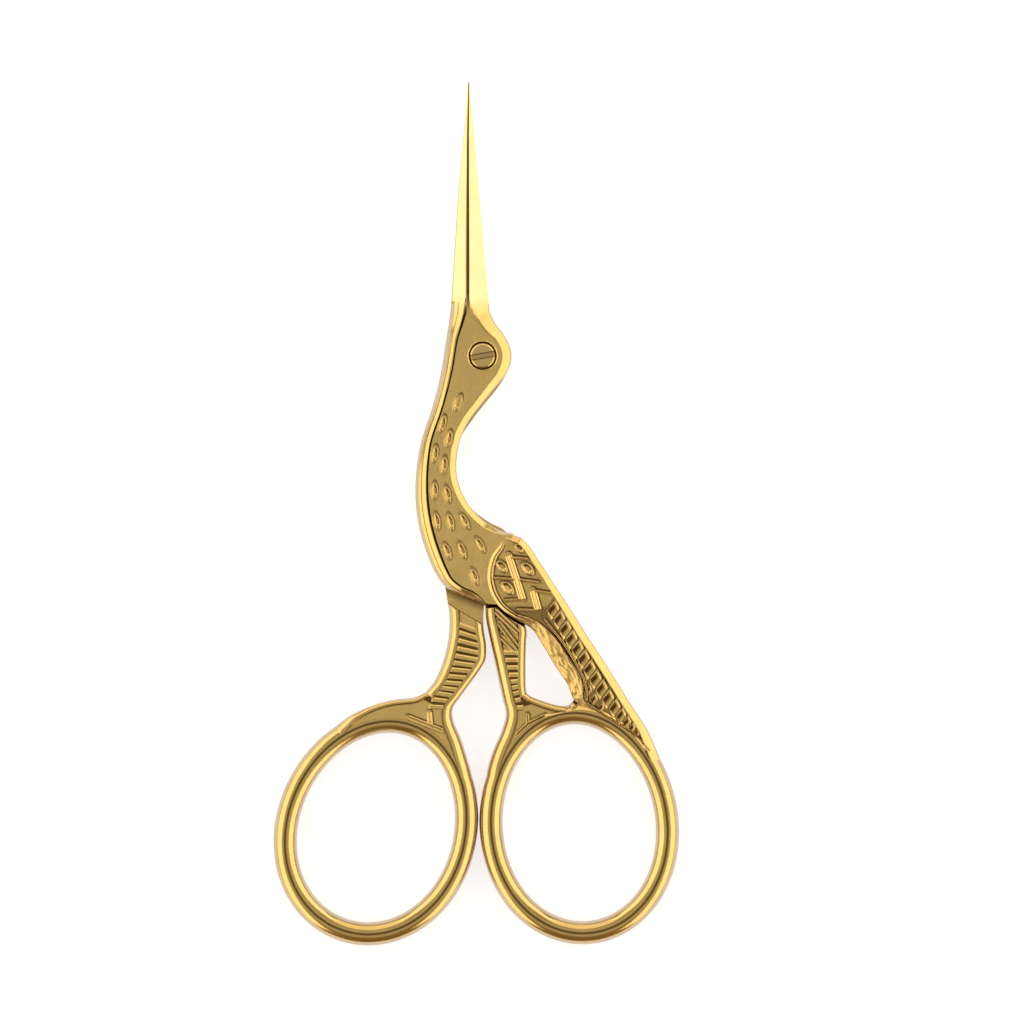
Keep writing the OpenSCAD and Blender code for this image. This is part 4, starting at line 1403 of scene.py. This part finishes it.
def press_rungs(sizes):
    """Rungs down the panels of both legs."""
    rungs = rung_tree()
    for name, body, marks in (
        ("front_rungs", "front", front_rungs(sizes.front_rungs)),
        ("back_rungs", "back", back_rungs(sizes.back_rungs)),
    ):
        press(name, body, rungs, point_mesh(name, marks), {
            "Width": 0.00076, "Height": sizes.mark_height * 1.3, "Root": 0.0003})


def press_leaves(sizes):
    """Slanted leaves down the tail and small ones at the window's lower corner."""
    turn = -math.radians(40)
    leaves = [
        (*spot_on(BRAID, share), PANEL_LEVEL, turn, (size, size, 1))
        for share, size in leaf_steps(sizes.leaves)]
    leaves += [(x, y, PANEL_LEVEL, turn, (size, size, 0.9)) for x, y, size in SMALL_LEAVES]
    press("tail_leaves", "front", leaf_tree(), point_mesh("tail_leaves", both_faces(leaves)), {
        "Length": 0.00205, "Width": 0.00138, "Height": 0.00028, "Shear": -0.00045, "Root": 0.0003})


class SCISSORS_OT_screw(Operator):
    """The slotted pivot screw"""

    bl_idname = "scissors.screw"
    bl_label = "Pivot Screw"

    def execute(self, context):
        head = make_disc("screw_head", 1.63, 2.62, screw_top)
        shank = make_disc("screw_shank", 1.0, 0.0, shank_top, foot=0.06)
        for piece in (head, shank):
            settle(piece, "back", "pivot_screw", finish_for("screw_brass"))
        return {"FINISHED"}


def screw_top(places):
    """Height and tone of the screw's head: a flat top, a bright chamfer and a slot with painted shade along
    its walls.
    """
    radius = np.hypot(places[..., 0], places[..., 1])
    turn = math.radians(SLOT_TURN)
    off = np.abs(places[..., 1] * math.cos(turn) - places[..., 0] * math.sin(turn))
    high = 3.515 - 0.012 * (radius / 1.55) ** 2 - 0.10 * np.clip((radius - 1.45) / 0.18, 0, 1)
    # Painted shade along the slot's walls and lightly over its floor.
    slot = 1 - step((off - 0.29) / 0.04)
    dark = np.exp(-(((off - 0.33) / 0.07) ** 2))
    return high - 0.42 * slot, np.maximum(dark, 0.25 * slot)


def shank_top(places):
    """Height and tone of the shank's upper end, hidden in the head."""
    return np.full(places.shape[:-1], 2.7), np.zeros(places.shape[:-1])


def make_disc(name, radius, bottom, top_of, foot=0.0):
    """Closed round slug whose rows run along the screw's slot; top_of gives its top's heights and tones."""
    turn = math.radians(SLOT_TURN)
    slot_rows = (0.27, 0.285, 0.30, 0.315, 0.33, 0.345, 0.37, 0.40)
    across = np.unique(np.concatenate([
        np.sin(np.linspace(-1, 1, 49) * math.pi / 2) * 0.9999 * radius,
        [side * v for side in (-1, 1) for v in slot_rows if v < radius]]))
    along = np.concatenate([[-1], np.sin(np.linspace(-1, 1, 61) * math.pi / 2) * 0.998, [1]])
    chord = np.sqrt(radius**2 - across**2)
    u, v = chord[:, None] * along[None, :], across[:, None] * np.ones_like(along)[None, :]
    x, y = u * math.cos(turn) - v * math.sin(turn), u * math.sin(turn) + v * math.cos(turn)
    places = np.stack([x, y], -1)[::-1]
    high, tone = top_of(places)
    rim = np.clip((np.hypot(places[..., 0], places[..., 1]) - radius + 0.12) / 0.12, 0, 1)
    low = bottom + foot * rim**2
    upper = np.concatenate([places, high[..., None]], 2)
    lower = np.concatenate([places, low[..., None]], 2)
    return solid(name, upper, lower, {"shade_and_patina": (tone, tone * 0)})


class SCISSORS_OT_stage(Operator):
    """Floor, soft boxes, sky and camera"""

    bl_idname = "scissors.stage"
    bl_label = "Stage"

    def execute(self, context):
        scene = context.scene
        scene.view_settings.view_transform = "Standard"
        add_floor()
        sky(scene, scene.scissors_stage.overhead)
        add_soft_boxes(scene, scene.scissors_stage)
        add_camera(scene, scene.scissors_stage)
        return {"FINISHED"}


def add_floor():
    """A wide floor just under the scissors."""
    mesh = bpy.data.meshes.new("floor")
    mesh.from_pydata([(-4, -4, 0), (4, -4, 0), (4, 4, 0), (-4, 4, 0)], [], [(0, 1, 2, 3)])
    floor = place("floor", mesh)
    floor.location.z = -0.00002
    floor.data.materials.append(floor_paint())


def add_soft_boxes(scene, stage):
    """Two wide soft boxes beside the scissors and one beyond the tip, turned to the aim."""
    for name, place_x, place_y, wide, tall, level in (
        ("soft_box_left", -0.95, 0, 3.0, 0.9, stage.side_light),
        ("soft_box_right", 0.95, 0, 3.0, 0.9, stage.side_light),
        ("soft_box_top", 0, 1.0, 1.2, 0.9, stage.top_light),
    ):
        data = bpy.data.lights.new(name, "AREA")
        data.shape = "RECTANGLE"
        data.size, data.size_y = wide, tall
        data.energy = level * math.pi * data.size * data.size_y
        lamp = bpy.data.objects.new(name, data)
        scene.collection.objects.link(lamp)
        lamp.location = (stage.aim[0] + place_x, stage.aim[1] + place_y, 0.62)
        away = lamp.location - stage.aim
        lamp.rotation_euler = away.to_track_quat("Z", "Y").to_euler()
        lamp.visible_camera = False


def add_camera(scene, stage):
    """A long lens straight above the aim, as far up as the frame's width asks for."""
    data = bpy.data.cameras.new("camera")
    data.lens = stage.lens
    data.sensor_width = SENSOR
    data.clip_start, data.clip_end = 0.05, 20
    camera = bpy.data.objects.new("camera", data)
    camera.location = (stage.aim[0], stage.aim[1], stage.aim[2] + stage.width * stage.lens / SENSOR)
    scene.collection.objects.link(camera)
    scene.camera = camera


def floor_paint():
    """Pale floor that the camera and the metal see as white, and that keeps the shadow."""
    material = bpy.data.materials.new("floor_paint")
    material.use_nodes = True
    tree = material.node_tree
    tree.nodes.clear()
    path = add(tree, "ShaderNodeLightPath").outputs
    seen = add(tree, "ShaderNodeMath", {0: path["Is Camera Ray"], 1: path["Is Glossy Ray"]}, operation="ADD")
    seen = add(tree, "ShaderNodeMath", {0: seen.outputs[0], 1: path["Is Transmission Ray"]}, operation="ADD",
               use_clamp=True)
    lift = add(tree, "ShaderNodeMath", {0: seen.outputs[0], 1: 0.7}, operation="MULTIPLY")
    glow = add(tree, "ShaderNodeEmission", {"Color": (1, 1, 1, 1), "Strength": lift.outputs[0]})
    paint = add(tree, "ShaderNodeBsdfDiffuse", {"Color": (0.55, 0.55, 0.55, 1)})
    both = add(tree, "ShaderNodeAddShader", {0: glow.outputs[0], 1: paint.outputs[0]})
    out = tree.nodes.new("ShaderNodeOutputMaterial")
    tree.links.new(both.outputs[0], out.inputs[0])
    return material


def sky(scene, overhead):
    """A room that is pale at the horizon, dim above it and softly lit overhead."""
    world = bpy.data.worlds.new("room")
    scene.world = world
    world.use_nodes = True
    tree = world.node_tree
    tree.nodes.clear()
    spot = add(tree, "ShaderNodeTexCoord").outputs["Generated"]
    height = add(tree, "ShaderNodeSeparateXYZ", {0: spot}).outputs[2]
    ramp = add(tree, "ShaderNodeValToRGB", {0: height})
    stops = ramp.color_ramp.elements
    stops[0].position, stops[0].color = 0.0, (0.9, 0.9, 0.9, 1)
    stops[1].position, stops[1].color = 1.0, (overhead, overhead, overhead, 1)
    warm, soft = (0.19, 0.135, 0.07), overhead * 0.9
    for share, colour in ((0.06, (0.85, 0.85, 0.85)), (0.16, warm), (0.70, warm), (0.90, (soft, soft, soft))):
        stop = stops.new(share)
        stop.color = (*colour, 1)
    light = add(tree, "ShaderNodeBackground", {"Color": ramp.outputs[0], "Strength": 1.0})
    out = tree.nodes.new("ShaderNodeOutputWorld")
    tree.links.new(light.outputs[0], out.inputs[0])


class SCISSORS_PT_panel(Panel):
    """Lists the pieces of the scissors"""

    bl_idname = "SCISSORS_PT_panel"
    bl_label = "Stork Scissors"
    bl_space_type = "VIEW_3D"
    bl_region_type = "UI"
    bl_category = "Scissors"

    def draw(self, context):
        for name, group in GROUPS:
            box = self.layout.box()
            settings = getattr(context.scene, name)
            for key in group.__annotations__:
                box.prop(settings, key)
        for operator in OPERATORS:
            self.layout.operator(operator.bl_idname)


GROUPS = (("scissors_body", ScissorsBody), ("scissors_rings", ScissorsRings), ("scissors_gold", ScissorsGold),
          ("scissors_stage", ScissorsStage))
OPERATORS = (SCISSORS_OT_stage, SCISSORS_OT_front_body, SCISSORS_OT_back_body, SCISSORS_OT_rings,
             SCISSORS_OT_marks, SCISSORS_OT_screw)


def register():
    for name, group in GROUPS:
        bpy.utils.register_class(group)
        setattr(bpy.types.Scene, name, PointerProperty(type=group))
    for operator in OPERATORS:
        bpy.utils.register_class(operator)
    bpy.utils.register_class(SCISSORS_PT_panel)


def unregister():
    bpy.utils.unregister_class(SCISSORS_PT_panel)
    for operator in reversed(OPERATORS):
        bpy.utils.unregister_class(operator)
    for name, group in reversed(GROUPS):
        delattr(bpy.types.Scene, name)
        bpy.utils.unregister_class(group)


def main():
    """Builds the whole scene."""
    register()
    bpy.ops.scissors.stage()
    bpy.ops.scissors.front_body()
    bpy.ops.scissors.back_body()
    bpy.ops.scissors.rings()
    bpy.ops.scissors.marks()
    bpy.ops.scissors.screw()


if __name__ == "__main__":
    main()
